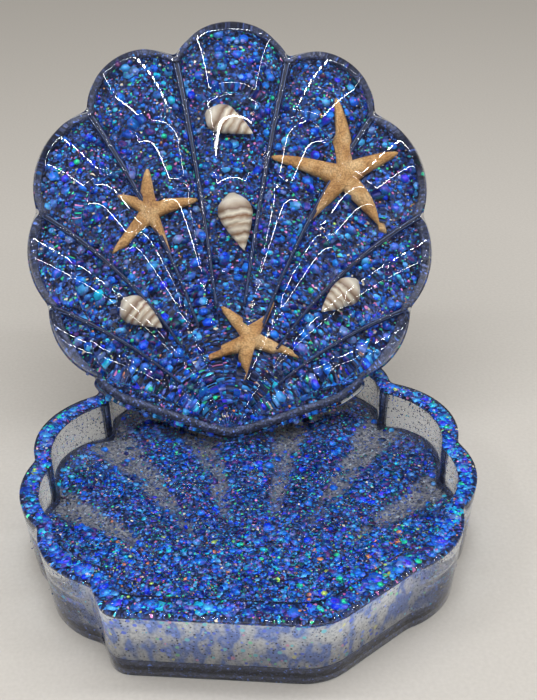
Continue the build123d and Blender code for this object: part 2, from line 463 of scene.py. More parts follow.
@dataclass(frozen=True)
class GrooveShade:
    """Painted shade under a groove, with a painted highlight line on each side, over the dark back of
    the lid.

    A groove between two ribs bends the view into the resin below it and mirrors the lamps along its
    sides, so the strip is painted as a dark line with a thin light line on each side.
    """

    wobble_mm: float = 1.6

    def build(self) -> bpy.types.Material:
        """Makes the material. The across attribute runs from 0 in the middle to 1 at the sides.

        Returns:
            The material.
        """
        g = Graph(bpy.data.materials.new("groove_shade_and_highlight"))
        across = g.add("Attribute", {"attribute_name": "across"}).outputs["Fac"]
        place = g.add("TexCoord").outputs["Object"]
        wobble = g.add("TexNoise", Vector=place, Scale=1 / (self.wobble_mm * MM), Detail=2.0)
        shift = g.add("Math", {"operation": "MULTIPLY_ADD"}, i0=wobble, i1=0.5, i2=-0.25)
        at = g.add("Math", {"operation": "ADD"}, i0=across, i1=shift)
        # Painted shade in the middle and a painted highlight line at each side, by the across attribute
        colour = g.add("ValToRGB", stops=GROOVE_SHADE_STOPS, Fac=at)
        return g.surface(g.add("BsdfPrincipled", Base_Color=colour, Roughness=0.35))


@dataclass(frozen=True)
class StarfishSkin:
    """Dried starfish: chalky tan skin with a grain of tiny pale knobs, darker in between."""

    pale: str = "F4D09C"
    tan: str = "DCAC70"
    dark: str = "B8834A"
    knob_mm: float = 0.55
    knob_height_mm: float = 0.2
    cloud_mm: float = 5.0

    def build(self) -> bpy.types.Material:
        """Makes the material.

        Returns:
            The material.
        """
        g = Graph(bpy.data.materials.new("starfish_skin"))
        place = g.add("TexCoord").outputs["Object"]
        knobs = g.add("TexVoronoi", Vector=place, Scale=1 / (self.knob_mm * MM))
        cloud = g.add("TexNoise", Vector=place, Scale=1 / (self.cloud_mm * MM), Detail=4.0)
        colour = g.add("ValToRGB", stops=((0.3, self.dark), (0.5, self.tan), (0.7, self.pale)), Fac=cloud)
        dots = g.add("ValToRGB", stops=((0.0, "FFFFFF"), (0.5, "D8C8B0"), (0.8, "8A7458")), Fac=knobs)
        skin = g.add("Mix", {"data_type": "RGBA", "blend_type": "MULTIPLY"}, i0=0.6, i6=colour, i7=dots)
        bump = g.add(
            "Bump", {"invert": True}, Strength=0.7, Distance=self.knob_height_mm * MM, Height=knobs
        )
        shader = g.add("BsdfPrincipled", Base_Color=skin.outputs[2], Roughness=0.75, Normal=bump)
        return g.surface(shader)


# Cream with brown and grey bands, from the spire to the mouth
WHORL_STOPS = (
    (0.0, "8A7868"),
    (0.10, "F0E4CC"),
    (0.18, "9A7C60"),
    (0.25, "F0E4CC"),
    (0.32, "8C6444"),
    (0.39, "E0D2BC"),
    (0.47, "A88C70"),
    (0.54, "F0E4CC"),
    (0.61, "8A5C38"),
    (0.67, "F0E4CC"),
    (0.75, "7C5C44"),
    (0.84, "C0AC94"),
    (0.92, "E4D8C4"),
    (1.0, "C8BCA8"),
)


@dataclass(frozen=True)
class SnailShell:
    """Sea snail shell: satin cream with brown-grey bands that follow the whorls."""

    cloud_mm: float = 2.5
    grain_height_mm: float = 0.1

    def build(self) -> bpy.types.Material:
        """Makes the material. The turn attribute runs along the shell from the spire.

        Returns:
            The material.
        """
        g = Graph(bpy.data.materials.new("snail_shell"))
        turn = g.add("Attribute", {"attribute_name": "turn"}).outputs["Fac"]
        place = g.add("TexCoord").outputs["Object"]
        cloud = g.add("TexNoise", Vector=place, Scale=1 / (self.cloud_mm * MM), Detail=3.0)
        shift = g.add("Math", {"operation": "MULTIPLY_ADD"}, i0=cloud, i1=0.10, i2=turn)
        colour = g.add("ValToRGB", stops=WHORL_STOPS, Fac=shift)
        bump = g.add("Bump", Strength=0.25, Distance=self.grain_height_mm * MM, Height=cloud)
        return g.surface(g.add("BsdfPrincipled", Base_Color=colour, Roughness=0.38, Normal=bump))


@dataclass(frozen=True)
class PaleFloor:
    """Matt off-white card under and behind the part, with a faint paper grain."""

    low: str = "C4C0BA"
    high: str = "CECAC4"
    grain_mm: float = 1.11

    def build(self) -> bpy.types.Material:
        """Makes the material.

        Returns:
            The material.
        """
        g = Graph(bpy.data.materials.new("pale_floor"))
        place = g.add("TexCoord").outputs["Object"]
        grain = g.add("TexNoise", Vector=place, Scale=1 / (self.grain_mm * MM), Detail=2.0)
        colour = g.add("ValToRGB", stops=((0.2, self.low), (0.8, self.high)), Fac=grain)
        return g.surface(g.add("BsdfPrincipled", Base_Color=colour, Roughness=0.8))


# The shell outline, in millimetres

# The lid's narrow end: half of it, from the last notch round the ear to the tip, and the whole
LID_HALF_FOOT = ((41.5, 19.5), (43.0, 18.6), (43.0, 17.4), (40.9, 15.0), (35.6, 11.4), (7.0, 1.6))
LID_FOOT = (*LID_HALF_FOOT, (0.0, 0.0), *((-x, y) for x, y in reversed(LID_HALF_FOOT)))
# The tray's narrow end is blunt and stands right of the middle: its corners and their radii
TRAY_NOSE = ((41.5, 19.5), (17.5, 0.8), (-37.5, 8.2), (-41.5, 19.5))
TRAY_NOSE_RADII = (16.0, 6.0)
# The valleys that reach the outline between two ribs, negative on the left
VALLEYS = (-4, -3, -2, -1, 1, 2, 3, 4)


def bulged(start: Point, end: Point, bulge: float, count: int) -> np.ndarray:
    """Points on an arc from start up to, not including, end.

    Args:
        start: First point.
        end: Last point.
        bulge: The arc's height over its chord's length, to the left of the chord.
        count: How many points.

    Returns:
        An array of points.
    """
    a, b = np.array(start), np.array(end)
    chord = float(np.hypot(*(b - a)))
    height = bulge * chord
    radius = (chord**2 / 4 + height**2) / (2 * height)
    half = math.asin(min(1.0, chord / 2 / radius))
    angle = np.linspace(-half, half, count, endpoint=False)
    along, out = radius * np.sin(angle), radius * np.cos(angle) - (radius - height)
    ahead = (b - a) / chord
    left = np.array([-ahead[1], ahead[0]])
    return (a + b) / 2 + along[:, None] * ahead + out[:, None] * left


def rounded(path: list[Point], radii: tuple[float, ...], steps: int = 9) -> tuple[Point, ...]:
    """Rounds the inner corners of an open path.

    Args:
        path: Its points.
        radii: One radius for each inner corner.
        steps: How many points a rounded corner gets.

    Returns:
        The path's points, with its inner corners rounded.
    """
    points = [np.array(p, float) for p in path]
    found = [points[0]]
    for before, corner, after, radius in zip(points, points[1:], points[2:], radii):
        back = (before - corner) / np.linalg.norm(before - corner)
        on = (after - corner) / np.linalg.norm(after - corner)
        half = math.acos(float(back @ on)) / 2
        centre = corner + (back + on) / np.linalg.norm(back + on) * radius / math.sin(half)
        start, end = (corner + way * radius / math.tan(half) - centre for way in (back, on))
        span = math.acos(float(start @ end) / radius**2)
        for share in np.linspace(0, 1, steps):
            spoke = start * math.sin((1 - share) * span) + end * math.sin(share * span)
            found.append(centre + spoke / math.sin(span))
    found.append(points[-1])
    return tuple((float(x), float(y)) for x, y in found)


def curve(start: np.ndarray, bend: np.ndarray, end: np.ndarray, s: np.ndarray) -> np.ndarray:
    """Points at shares s of the curve from start to end that leans towards bend."""
    return start * (1 - s) ** 2 + bend * 2 * s * (1 - s) + end * s**2


def inward(ring: np.ndarray) -> np.ndarray:
    """Unit normals that point into a clockwise closed ring.

    Args:
        ring: Its points.

    Returns:
        One normal for each point.
    """
    ahead = np.roll(ring, -1, 0) - np.roll(ring, 1, 0)
    ahead /= np.linalg.norm(ahead, axis=1, keepdims=True)
    return np.stack([ahead[:, 1], -ahead[:, 0]], 1)


@dataclass(frozen=True)
class Rays:
    """The bent lines from the umbo to each point of a closed outline, one row for each.

    A row holds its end on the outline, the point that bends it, its place across its rib from -1
    to 1, and the valleys to the left and right of that rib. On the foot the last three are 0.
    """

    end: np.ndarray
    bend: np.ndarray
    share: np.ndarray
    left: np.ndarray
    right: np.ndarray


@dataclass(frozen=True)
class ShellOutline:
    """The scallop outline of a casting, and the valleys between its ribs.

    Points are (side, along) in millimetres from the narrow tip, on the right half. Only the foot,
    which is the narrow end from the last notch on the right to the last on the left, is whole.
    """

    notches: tuple[Point, ...] = ((18.7, 126.2), (47.0, 107.2), (62.2, 73.2), (57.6, 42.6), (41.5, 19.5))
    bulges: tuple[float, ...] = (0.32, 0.29, 0.20, 0.155, 0.16)
    bends: tuple[Point, ...] = ((6.8, 72.0), (14.0, 60.0), (22.0, 50.0), (24.0, 30.0), (24.0, 16.5))
    foot: tuple[Point, ...] = LID_FOOT
    umbo: Point = (0.0, 3.0)
    half_width: float = 65.0
    length: float = 138.17
    # Points on a rib's arc, on the foot, and on the even line that the corners are rounded on
    per_rib: int = 44
    per_foot: int = 130
    per_round: int = 2400
    # How far along the outline a corner is rounded
    softness: float = 1.1
    # The share of the foot whose rays are straight
    straight_foot: float = 0.8

    @property
    def middle(self) -> float:
        """How far along the outline's middle is."""
        return self.length / 2

    def valley_end(self, number: int) -> np.ndarray:
        """The notch at the end of valley number, negative on the left."""
        side, along = self.notches[abs(number) - 1]
        return np.array([side if number > 0 else -side, along])

    def valley_bend(self, number: int) -> np.ndarray:
        """The point that bends valley number."""
        side, along = self.bends[abs(number) - 1]
        return np.array([side if number > 0 else -side, along])

    def ribs(self) -> list[tuple[int, int, float]]:
        """Lists the ribs clockwise from the lower left.

        Returns:
            For each, the valley numbers on both sides of it and its bulge.
        """
        left = [(-n - 1, -n, self.bulges[n]) for n in range(4, 0, -1)]
        right = [(n, n + 1, self.bulges[n]) for n in range(1, 5)]
        return left + [(-1, 1, self.bulges[0])] + right

    def foot_rays(self) -> tuple[np.ndarray, np.ndarray]:
        """Spaces points evenly on the foot, and bends its outer rays towards the last valleys.

        Returns:
            The points, and the points that bend the rays to them.
        """
        whole = np.array(self.foot)
        gaps = np.hypot(*np.diff(whole, axis=0).T)
        at = np.concatenate([[0], np.cumsum(gaps)])
        places = np.linspace(0, at[-1], self.per_foot, endpoint=False)
        line = np.stack([np.interp(places, at, whole[:, i]) for i in (0, 1)], 1)
        turn = places / at[-1] * 2 - 1
        straight = (line + np.array(self.umbo)) / 2
        near = np.clip((np.abs(turn) - self.straight_foot) / (1 - self.straight_foot), 0, 1)[:, None]
        side, along = self.bends[-1]
        corner = np.stack([np.sign(line[:, 0]) * side, np.full(len(line), along)], 1)
        return line, straight * (1 - near) + corner * near

    def rays(self) -> Rays:
        """Works out the closed outline and the ray to each of its points.

        Returns:
            The rays of the ribs from the lower left, and then those of the foot.
        """
        ends, bends, shares, lefts, rights = [], [], [], [], []
        for left, right, bulge in self.ribs():
            a, b = self.valley_end(left), self.valley_end(right)
            arc = bulged(tuple(a), tuple(b), bulge, self.per_rib)
            part = (arc - a) @ (b - a) / float((b - a) @ (b - a))
            across = part[:, None]
            ends.append(arc)
            bends.append(self.valley_bend(left) * (1 - across) + self.valley_bend(right) * across)
            shares.append(2 * part - 1)
            lefts.append(np.full(len(arc), left))
            rights.append(np.full(len(arc), right))
        line, bend = self.foot_rays()
        ends.append(line)
        bends.append(bend)
        shares.append(np.zeros(len(line)))
        lefts.append(np.zeros(len(line), int))
        rights.append(np.zeros(len(line), int))
        return Rays(
            end=self.smooth(np.concatenate(ends)),
            bend=np.concatenate(bends),
            share=np.concatenate(shares),
            left=np.concatenate(lefts),
            right=np.concatenate(rights),
        )

    def smooth(self, points: np.ndarray) -> np.ndarray:
        """Rounds the outline's corners a little, evenly along its length.

        Args:
            points: The closed outline.

        Returns:
            As many points on the rounded outline.
        """
        count = len(points)
        gaps = np.hypot(*(np.roll(points, -1, 0) - points).T)
        at = np.concatenate([[0], np.cumsum(gaps)])
        loop = np.concatenate([points, points[:1]])
        even = np.linspace(0, at[-1], self.per_round, endpoint=False)
        fine = np.stack([np.interp(even, at, loop[:, i]) for i in (0, 1)], 1)
        step = at[-1] / self.per_round
        reach = int(4 * self.softness / step)
        offsets = np.arange(-reach, reach + 1)
        weights = np.exp(-((offsets * step / self.softness) ** 2) / 2)
        weights /= weights.sum()
        soft = sum(np.roll(fine, -o, 0) * w for o, w in zip(offsets, weights))
        soft = np.concatenate([soft, soft[:1]])
        even = np.concatenate([even, [at[-1]]])
        return np.stack([np.interp(at[:count], even, soft[:, i]) for i in (0, 1)], 1)

    def scaled(self, points: np.ndarray, shrink: float) -> np.ndarray:
        """The outline drawn smaller about its middle, by shrink at its sides."""
        centre = np.array([0.0, self.middle])
        return centre + (points - centre) * (1 - shrink / self.half_width)


def tray_outline(nose_back: float = 0.0) -> ShellOutline:
    """The tray's outline: no ears, and its own nose.

    Args:
        nose_back: How far its narrow end is moved back.

    Returns:
        The outline.
    """
    path = [(side, along + nose_back) for side, along in TRAY_NOSE]
    notches = (*ShellOutline.notches[:4], path[0])
    return ShellOutline(notches=notches, foot=rounded(path, TRAY_NOSE_RADII))


@dataclass(frozen=True)
class RibForm:
    """How high the ribs stand, and how the growth lines divide them.

    Each band between two growth lines is a pillow that rolls over at its outer end. Places and
    lengths along a rib are shares of the way from the umbo to the edge.
    """

    # A rib's height over half its width
    fullness: float
    # Where the growth lines are, and over what length the band before each rolls over
    lines: tuple[float, ...] = (0.27, 0.32, 0.375, 0.617, 0.80)
    roll: tuple[float, ...] = (0.02, 0.02, 0.03, 0.05, 0.075)
    # How steeply a band rolls over, and over what length the next one rises
    fall: float = 6.0
    riser: float = 0.024
    # How much lower a rib is at its tip
    tip_fall: float = 0.32
    # The dome that rounds all the ribs down to the edge: its height, and how far in from the edge
    # it stands at that height, in millimetres
    crown_rise: float = 9.6
    crown_inset: float = 14.0
    # Added to half a rib's width, which would be nothing at the umbo
    least_half: float = 0.05

    def swell(self, t: np.ndarray) -> np.ndarray:
        """How full a rib is along its length.

        Args:
            t: Shares of the way from the umbo to the edge.

        Returns:
            The rib's height at each, over its full height.
        """
        full = np.ones_like(t)
        for line, length in zip(self.lines, self.roll):
            drop = self.fall * length / 3
            below = np.clip((line - t) / length, 0, 1)
            above = np.clip((t - line) / self.riser, 0, 1)
            full -= drop * np.where(t < line, (1 - below) ** 3, (1 - above) ** 2)
        tip = np.clip((t - self.lines[-1]) / (1 - self.lines[-1]), 0, 1)
        return full - self.tip_fall * tip**2


def ray_points(outline: ShellOutline, rays: Rays, t: np.ndarray) -> np.ndarray:
    """Points at shares t along every ray from the umbo to the outline, as an array (ray, t, 2)."""
    return curve(np.array(outline.umbo), rays.bend[:, None], rays.end[:, None], t[None, :, None])


def rib_heights(outline: ShellOutline, rays: Rays, t: np.ndarray, form: RibForm) -> np.ndarray:
    """Heights of the ribbed face over its plane. Across a rib it is a round arc.

    Args:
        outline: The shell outline.
        rays: Its rays.
        t: Shares of the way from the umbo to the edge.
        form: How high the ribs stand.

    Returns:
        An array (ray, t).
    """
    start = np.array(outline.umbo)
    heights = np.zeros((len(rays.end), len(t)))
    s = t[:, None]
    swell = form.swell(t)
    for left, right, _ in outline.ribs():
        mine = np.flatnonzero((rays.left == left) & (rays.right == right))
        a, b = (curve(start, outline.valley_bend(n), outline.valley_end(n), s) for n in (left, right))
        half = np.hypot(*(b - a).T) / 2 + form.least_half
        rise = form.fullness * half * swell
        radius = (half**2 + rise**2) / (2 * rise)
        x = rays.share[mine][:, None] * half[None]
        heights[mine] = np.sqrt(np.maximum(radius**2 - x**2, 0)) - (radius - rise)
    return heights


# Meshes


def make_mesh(
    name: str, points: np.ndarray, faces: list[Face], body: Body, slot: Slot, material: bpy.types.Material
) -> bpy.types.Object:
    """Makes a smooth mesh object that rides on a body.

    Args:
        name: The object's name.
        points: Vertices in millimetres.
        faces: Lists of vertex numbers.
        body: What it moves with.
        slot: The record's material slot.
        material: Its finish.

    Returns:
        The object, with merged points and outward normals.
    """
    mesh = bpy.data.meshes.new(name)
    mesh.from_pydata((np.asarray(points) * MM).tolist(), [], faces)
    bm = bmesh.new()
    bm.from_mesh(mesh)
    bmesh.ops.remove_doubles(bm, verts=bm.verts, dist=MERGE)
    bmesh.ops.recalc_face_normals(bm, faces=bm.faces)
    bm.to_mesh(mesh)
    bm.free()
    mesh.shade_smooth()
    mesh.materials.append(material)
    return place(bpy.data.objects.new(name, mesh), body, slot)


def place(piece: bpy.types.Object, body: Body, slot: Slot) -> bpy.types.Object:
    """Links a piece to the scene.

    Args:
        piece: The new object.
        body: What it moves with.
        slot: The record's material slot. It is not used.

    Returns:
        The piece.
    """
    bpy.context.scene.collection.objects.link(piece)
    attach(piece, body.value)
    log.info("%s: %d points, on %s", piece.name, len(piece.data.vertices), body.value)
    return piece


def vertex_places(mesh: bpy.types.Mesh) -> np.ndarray:
    """Reads where a mesh's vertices are.

    Args:
        mesh: The mesh.

    Returns:
        Their places in metres.
    """
    places = np.empty(len(mesh.vertices) * 3, np.float32)
    mesh.vertices.foreach_get("co", places)
    return places.reshape(-1, 3)


def set_attribute(mesh: bpy.types.Mesh, name: str, values: np.ndarray) -> None:
    """Gives each vertex a number that a material reads by the attribute's name."""
    attribute = mesh.attributes.new(name, "FLOAT", "POINT")
    attribute.data.foreach_set("value", values.astype(np.float32))


def loop_faces(starts: list[int], count: int) -> list[Face]:
    """Quads between closed rows of points.

    Args:
        starts: The number of each row's first point.
        count: How many points a row has.

    Returns:
        The faces.
    """
    faces = []
    for low, high in zip(starts, starts[1:]):
        for i in range(count):
            j = (i + 1) % count
            faces.append((low + i, low + j, high + j, high + i))
    return faces


def row_faces(rows: list[np.ndarray]) -> list[Face]:
    """Quads between closed rows of points that follow each other in one mesh."""
    count = len(rows[0])
    return loop_faces([i * count for i in range(len(rows))], count)


@dataclass(frozen=True)
class FlakeLook:
    """How one size of flake looks: its width in millimetres, its lean and its range of tones.

    The lean is the spread of a random vector that is added to the way a flat flake faces.
    """

    across: Point
    lean: float
    tone: Point


class FlakeCloud:
    """Thin closed hexagons, many in one mesh."""

    # How thick a flake is, in millimetres
    thick = 0.05

    def __init__(self, seed: int) -> None:
        """Starts an empty cloud.

        Args:
            seed: Where its own random numbers start.
        """
        self.rng = np.random.default_rng(seed)
        self.points: list[np.ndarray] = []
        self.tones: list[np.ndarray] = []

    def scatter(self, centres: np.ndarray, facing: np.ndarray, look: FlakeLook) -> None:
        """Adds one flake at each centre.

        Args:
            centres: Places in millimetres.
            facing: The way a flat flake faces.
            look: Its size, lean and tones.
        """
        n = len(centres)
        normal = facing + self.rng.normal(0, look.lean, (n, 3))
        normal /= np.linalg.norm(normal, axis=1, keepdims=True)
        other = self.rng.normal(0, 1, (n, 3))
        first = np.cross(normal, other)
        first /= np.linalg.norm(first, axis=1, keepdims=True)
        second = np.cross(normal, first)
        radius = self.rng.uniform(*look.across, n) / 2
        corner = (np.arange(6) * np.pi / 3)[None, :, None]
        flat = first[:, None] * np.cos(corner) + second[:, None] * np.sin(corner)
        ring = centres[:, None] + flat * radius[:, None, None]
        lift = normal[:, None] * self.thick / 2
        self.points.append(np.concatenate([ring + lift, ring - lift], 1))
        self.tones.append(self.rng.uniform(*look.tone, n))

    def build(self, name: str, body: Body, slot: Slot, material: bpy.types.Material) -> bpy.types.Object:
        """Makes the object from all the flakes.

        Args:
            name: The object's name.
            body: What it moves with.
            slot: The record's material slot.
            material: Its finish.

        Returns:
            The object. Each flake has twelve vertices, two hexagons and six sides.
        """
        points = np.concatenate(self.points)
        n = len(points)
        base = np.arange(n)[:, None] * 12
        top, under = np.arange(6), np.arange(11, 5, -1)
        sides = np.array([[i, i + 6, (i + 1) % 6 + 6, (i + 1) % 6] for i in range(6)]).ravel()
        loops = (base + np.concatenate([top, under, sides])).ravel()
        sizes = np.tile([6, 6, 4, 4, 4, 4, 4, 4], n)
        mesh = bpy.data.meshes.new(name)
        mesh.vertices.add(n * 12)
        mesh.vertices.foreach_set("co", (points.reshape(-1) * MM).astype(np.float32))
        mesh.loops.add(len(loops))
        mesh.loops.foreach_set("vertex_index", loops.astype(np.int32))
        mesh.polygons.add(len(sizes))
        starts = np.concatenate([[0], np.cumsum(sizes)[:-1]])
        mesh.polygons.foreach_set("loop_start", starts.astype(np.int32))
        set_attribute(mesh, "tone", np.repeat(np.concatenate(self.tones), 12))
        mesh.update(calc_edges=True)
        mesh.materials.append(material)
        return place(bpy.data.objects.new(name, mesh), body, slot)


# Sub-assemblies


@dataclass
class Finishes:
    """One of each material."""

    clear: bpy.types.Material = field(default_factory=ClearResin().build)
    flakes: bpy.types.Material = field(default_factory=HexFlakes().build)
    fine: bpy.types.Material = field(default_factory=FineGlitter().build)
    # The foot's glitter, also used as painted shade in the lid's edge band and the tray's notch columns
    foot: bpy.types.Material = field(default_factory=FineGlitter("foot_glitter_and_painted_shade", 0.5, FOOT_AND_SHADE_STOPS, 0.3).build)
    haze: bpy.types.Material = field(default_factory=WallHaze().build)
    seam: bpy.types.Material = field(default_factory=GrooveShade().build)
    star: bpy.types.Material = field(default_factory=StarfishSkin().build)
    snail: bpy.types.Material = field(default_factory=SnailShell().build)


# Sections of the lid's inner pieces. Heights are from the plane of the ribs' feet.
# The glitter bed, from the middle out and back: share of the way to its edge, height
BED_SECTION = (
    (0.0, -4.25),
    (0.5, -4.25),
    (0.98, -4.25),
    (1.0, -4.35),
    (1.0, -4.45),
    (0.98, -4.6),
    (0.5, -4.6),
    (0.0, -4.6),
)
# A strip of painted groove shade: share of its half width, height
GROOVE_SHADE_SECTION = ((-1, -0.9), (0, -0.9), (1, -0.9), (1, -1.1), (-1, -1.1))
# The band of painted shade inside the edge: inset, height
EDGE_SHADE_SECTION = ((1.1, -1.2), (1.3, -0.9), (3.6, -0.9), (3.8, -1.2), (1.1, -1.2))
# The lid's flakes: how many, least gap to a starfish or a snail, share inside the ribs, look
LID_FLAKES = (
    (560, 1.3, 0.1, FlakeLook((2.3, 3.3), 0.16, (0.0, 0.86))),
    (1500, 0.6, 0.15, FlakeLook((1.2, 1.9), 0.22, (0.05, 0.92))),
    (2300, 0.3, 0.25, FlakeLook((0.6, 1.0), 0.4, (0.2, 0.97))),
    (2300, 0.2, 0.35, FlakeLook((0.35, 0.6), 0.5, (0.84, 1.0))),
)


@dataclass
class Lid:
    """The ribbed lid, standing in the tray on its tip and leaning back."""

    outline: ShellOutline
    finishes: Finishes
    sealed: list["Starfish | Snail"]
    thickness: float = 4.8
    back_bevel: float = 1.4
    edge_round: float = 0.5
    # How far the glitter bed and the flakes stay inside the edge
    clear_edge: float = 1.3
    flake_edge: float = 1.7
    # The flakes lie between these heights, and thin out over this width inside their edge
    flake_low: float = -4.1
    flake_high: float = -1.0
    edge_fade: float = 5.0
    # Beyond this share of the way to a valley only a few flakes settle
    valley_from: float = 0.9
    valley_flakes: float = 0.12
    # Degrees that it leans back, is turned about the vertical and is rolled in its own plane
    lean: float = 38.5
    turn: float = 0.5
    roll: float = 2.9
    tip: tuple[float, float, float] = (-5.4, 22.8, 13.7)
    form: RibForm = RibForm(fullness=0.46)
    # Over what height the ribs and the dome blend
    blend: float = 0.9
    # Rows of points from the umbo to the edge, and more of them round each growth line, from
    # this share of the way before it
    rows: int = 116
    line_rows: int = 15
    line_lead: float = 0.02
    # The strips of painted groove shade: their stretch of the way to the edge, steps, half width at
    # the umbo and its growth
    shade_span: Point = (0.30, 0.985)
    shade_steps: int = 70
    shade_half: float = 0.7
    shade_growth: float = 0.9

    def __post_init__(self) -> None:
        """Works out the rays, the ribbed face and the lid's place."""
        self.rays = self.outline.rays()
        marks = [
            np.linspace(line - self.line_lead, line + self.form.riser, self.line_rows)
            for line in self.form.lines
        ]
        self.t = np.unique(np.concatenate([np.linspace(0, 1, self.rows) ** 0.9, *marks]))
        self.flat = ray_points(self.outline, self.rays, self.t)
        ribs = rib_heights(self.outline, self.rays, self.t, self.form)
        self.to_edge = np.linalg.norm(self.flat - self.flat[:, -1:], axis=2)
        far = np.clip(self.to_edge / self.form.crown_inset, 0, 1)
        crown = self.form.crown_rise * np.sqrt(1 - (1 - far) ** 2)
        h = np.clip(0.5 + 0.5 * (crown - ribs) / self.blend, 0, 1)
        self.heights = np.maximum(crown * (1 - h) + ribs * h - self.blend * h * (1 - h), 0)
        turned = Matrix.Rotation(math.radians(self.turn), 4, "Z")
        leant = Matrix.Rotation(math.radians(-self.lean), 4, "X")
        rolled = Matrix.Rotation(math.radians(self.roll), 4, "Y")
        upright = Matrix(((1, 0, 0, 0), (0, 0, -1, 0), (0, 1, 0, 0), (0, 0, 0, 1)))
        self.matrix = np.array(Matrix.Translation(self.tip) @ (turned @ leant @ rolled) @ upright)

    def world(self, local: np.ndarray) -> np.ndarray:
        """Moves points (side, along, out) from the lid's plane to the part's frame."""
        return local @ self.matrix[:3, :3].T + self.matrix[:3, 3]

    def facing(self) -> np.ndarray:
        """The way the ribbed face looks."""
        return self.matrix[:3, 2]

    def casting(self) -> bpy.types.Object:
        """Builds the clear casting: ribbed face, rounded edge and flat back.

        Returns:
            The object.
        """
        count = len(self.flat)
        ring = self.flat[:, -1]
        into = inward(ring)
        # The eighth power draws in only the rows nearest the edge
        front = self.flat + into[:, None] * self.edge_round * (self.t**8)[None, :, None]
        rows = [np.column_stack([front[:, i], self.heights[:, i]]) for i in range(len(self.t))]
        bevel, back = self.back_bevel, -self.thickness
        # The rounded front edge, the wall and the bevel at the back: inset, height
        wall = [(0.15, -0.15), (0.0, -0.5), (0.0, bevel + back)]
        wall += [(bevel * 0.3, bevel * 0.35 + back), (bevel, back)]
        for inset, out in wall:
            rows.append(np.column_stack([ring + into * inset, np.full(count, out)]))
        t = np.linspace(1, 0, 24)[1:]
        behind = ray_points(self.outline, self.rays, t) + into[:, None] * (bevel * t**8)[None, :, None]
        rows += [np.column_stack([behind[:, i], np.full(count, back)]) for i in range(len(t))]
        points = self.world(np.concatenate(rows))
        piece = make_mesh("lid_casting", points, row_faces(rows), Body.LID, Slot.CLEAR, self.finishes.clear)
        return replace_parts(piece, "lid_clear")

    def bed(self) -> bpy.types.Object:
        """Builds the settled fine glitter near the back of the lid.

        Returns:
            The object.
        """
        ring = self.outline.scaled(self.flat[:, -1], self.clear_edge)
        centre = np.array([0, self.outline.middle])
        rows = [
            np.column_stack([centre + (ring - centre) * share, np.full(len(ring), out)])
            for share, out in BED_SECTION
        ]
        points, faces = self.world(np.concatenate(rows)), row_faces(rows)
        return make_mesh("lid_glitter_bed", points, faces, Body.LID, Slot.FLAKES, self.finishes.fine)

    def groove_shades(self) -> bpy.types.Object:
        """Builds the painted shade under the grooves between the ribs, with a painted highlight line at
        each side, as thin closed strips.

        Returns:
            The object, with the across attribute from 0 in a strip's middle to 1 at its sides.
        """
        start = np.array(self.outline.umbo)
        s = np.linspace(*self.shade_span, self.shade_steps)[:, None]
        half = self.shade_half + self.shade_growth * s
        side, out = np.array(GROOVE_SHADE_SECTION).T
        corners = len(GROOVE_SHADE_SECTION)
        strips, faces = [], []
        for index, number in enumerate(VALLEYS):
            line = curve(start, self.outline.valley_bend(number), self.outline.valley_end(number), s)
            ahead = np.gradient(line, axis=0)
            ahead /= np.linalg.norm(ahead, axis=1, keepdims=True)
            left = np.column_stack([-ahead[:, 1], ahead[:, 0]]) * half
            flat = line[:, None] + left[:, None] * side[None, :, None]
            height = np.broadcast_to(out[None, :, None], (*flat.shape[:2], 1))
            strips.append(np.concatenate([flat, height], 2).reshape(-1, 3))
            first = index * self.shade_steps * corners
            last = first + (self.shade_steps - 1) * corners
            faces += loop_faces(list(range(first, last + 1, corners)), corners)
            faces += [tuple(range(first, first + corners))[::-1], tuple(range(last, last + corners))]
        points = self.world(np.concatenate(strips))
        piece = make_mesh("lid_groove_shade", points, faces, Body.LID, Slot.BLUE, self.finishes.seam)
        set_attribute(piece.data, "across", np.tile(np.abs(side), self.shade_steps * len(VALLEYS)))
        return piece

    def edge_shade_band(self) -> bpy.types.Object:
        """Builds the slate-blue band just inside the edge, as painted shade for the edge's refraction.

        Returns:
            The object.
        """
        ring = self.flat[:, -1]
        rows = [
            np.column_stack([self.outline.scaled(ring, inset), np.full(len(ring), out)])
            for inset, out in EDGE_SHADE_SECTION
        ]
        points = self.world(np.concatenate(rows))
        return make_mesh("lid_edge_shade", points, row_faces(rows), Body.LID, Slot.BLUE, self.finishes.foot)

    def inside(self, count: int, rng: np.random.Generator, margin: float, in_ribs: float) -> np.ndarray:
        """Random places inside the lid's flake layer, none in front of a starfish or a snail.

        Args:
            count: How many to try.
            rng: Source of random numbers.
            margin: Least gap to a starfish or snail, seen from the front.
            in_ribs: Share of them that hang higher up, inside the ribs.

        Returns:
            Places in the part's frame.
        """
        area = np.zeros(self.to_edge.shape)
        across = np.linalg.norm(np.roll(self.flat, -1, 0) - self.flat, axis=2)
        along = np.linalg.norm(np.diff(self.flat, axis=1), axis=2)
        area[:, :-1] = across[:, :-1] * along
        # None outside the flakes' edge, a quarter just inside it, and few over the valleys
        area[self.to_edge < self.flake_edge] = 0
        area *= np.clip(0.25 + 0.75 * (self.to_edge - self.flake_edge) / self.edge_fade, 0.25, 1)
        in_valley = np.abs(self.rays.share)[:, None] > self.valley_from
        area *= np.where(in_valley, self.valley_flakes, 1.0)
        pick = rng.choice(area.size, count, p=(area / area.sum()).ravel())
        ray, step = np.unravel_index(pick, area.shape)
        spot = self.flat[ray, step] + rng.normal(0, 0.35, (count, 2))
        free = ~np.any([piece.covers(spot, margin) for piece in self.sealed], axis=0)
        rib_top = self.heights[ray, step] * 0.8 + self.flake_high
        top = np.where(rng.uniform(0, 1, count) < in_ribs, rib_top, self.flake_high)
        out = self.flake_low + (top - self.flake_low) * rng.uniform(0, 1, count)
        return self.world(np.column_stack([spot, out])[free])

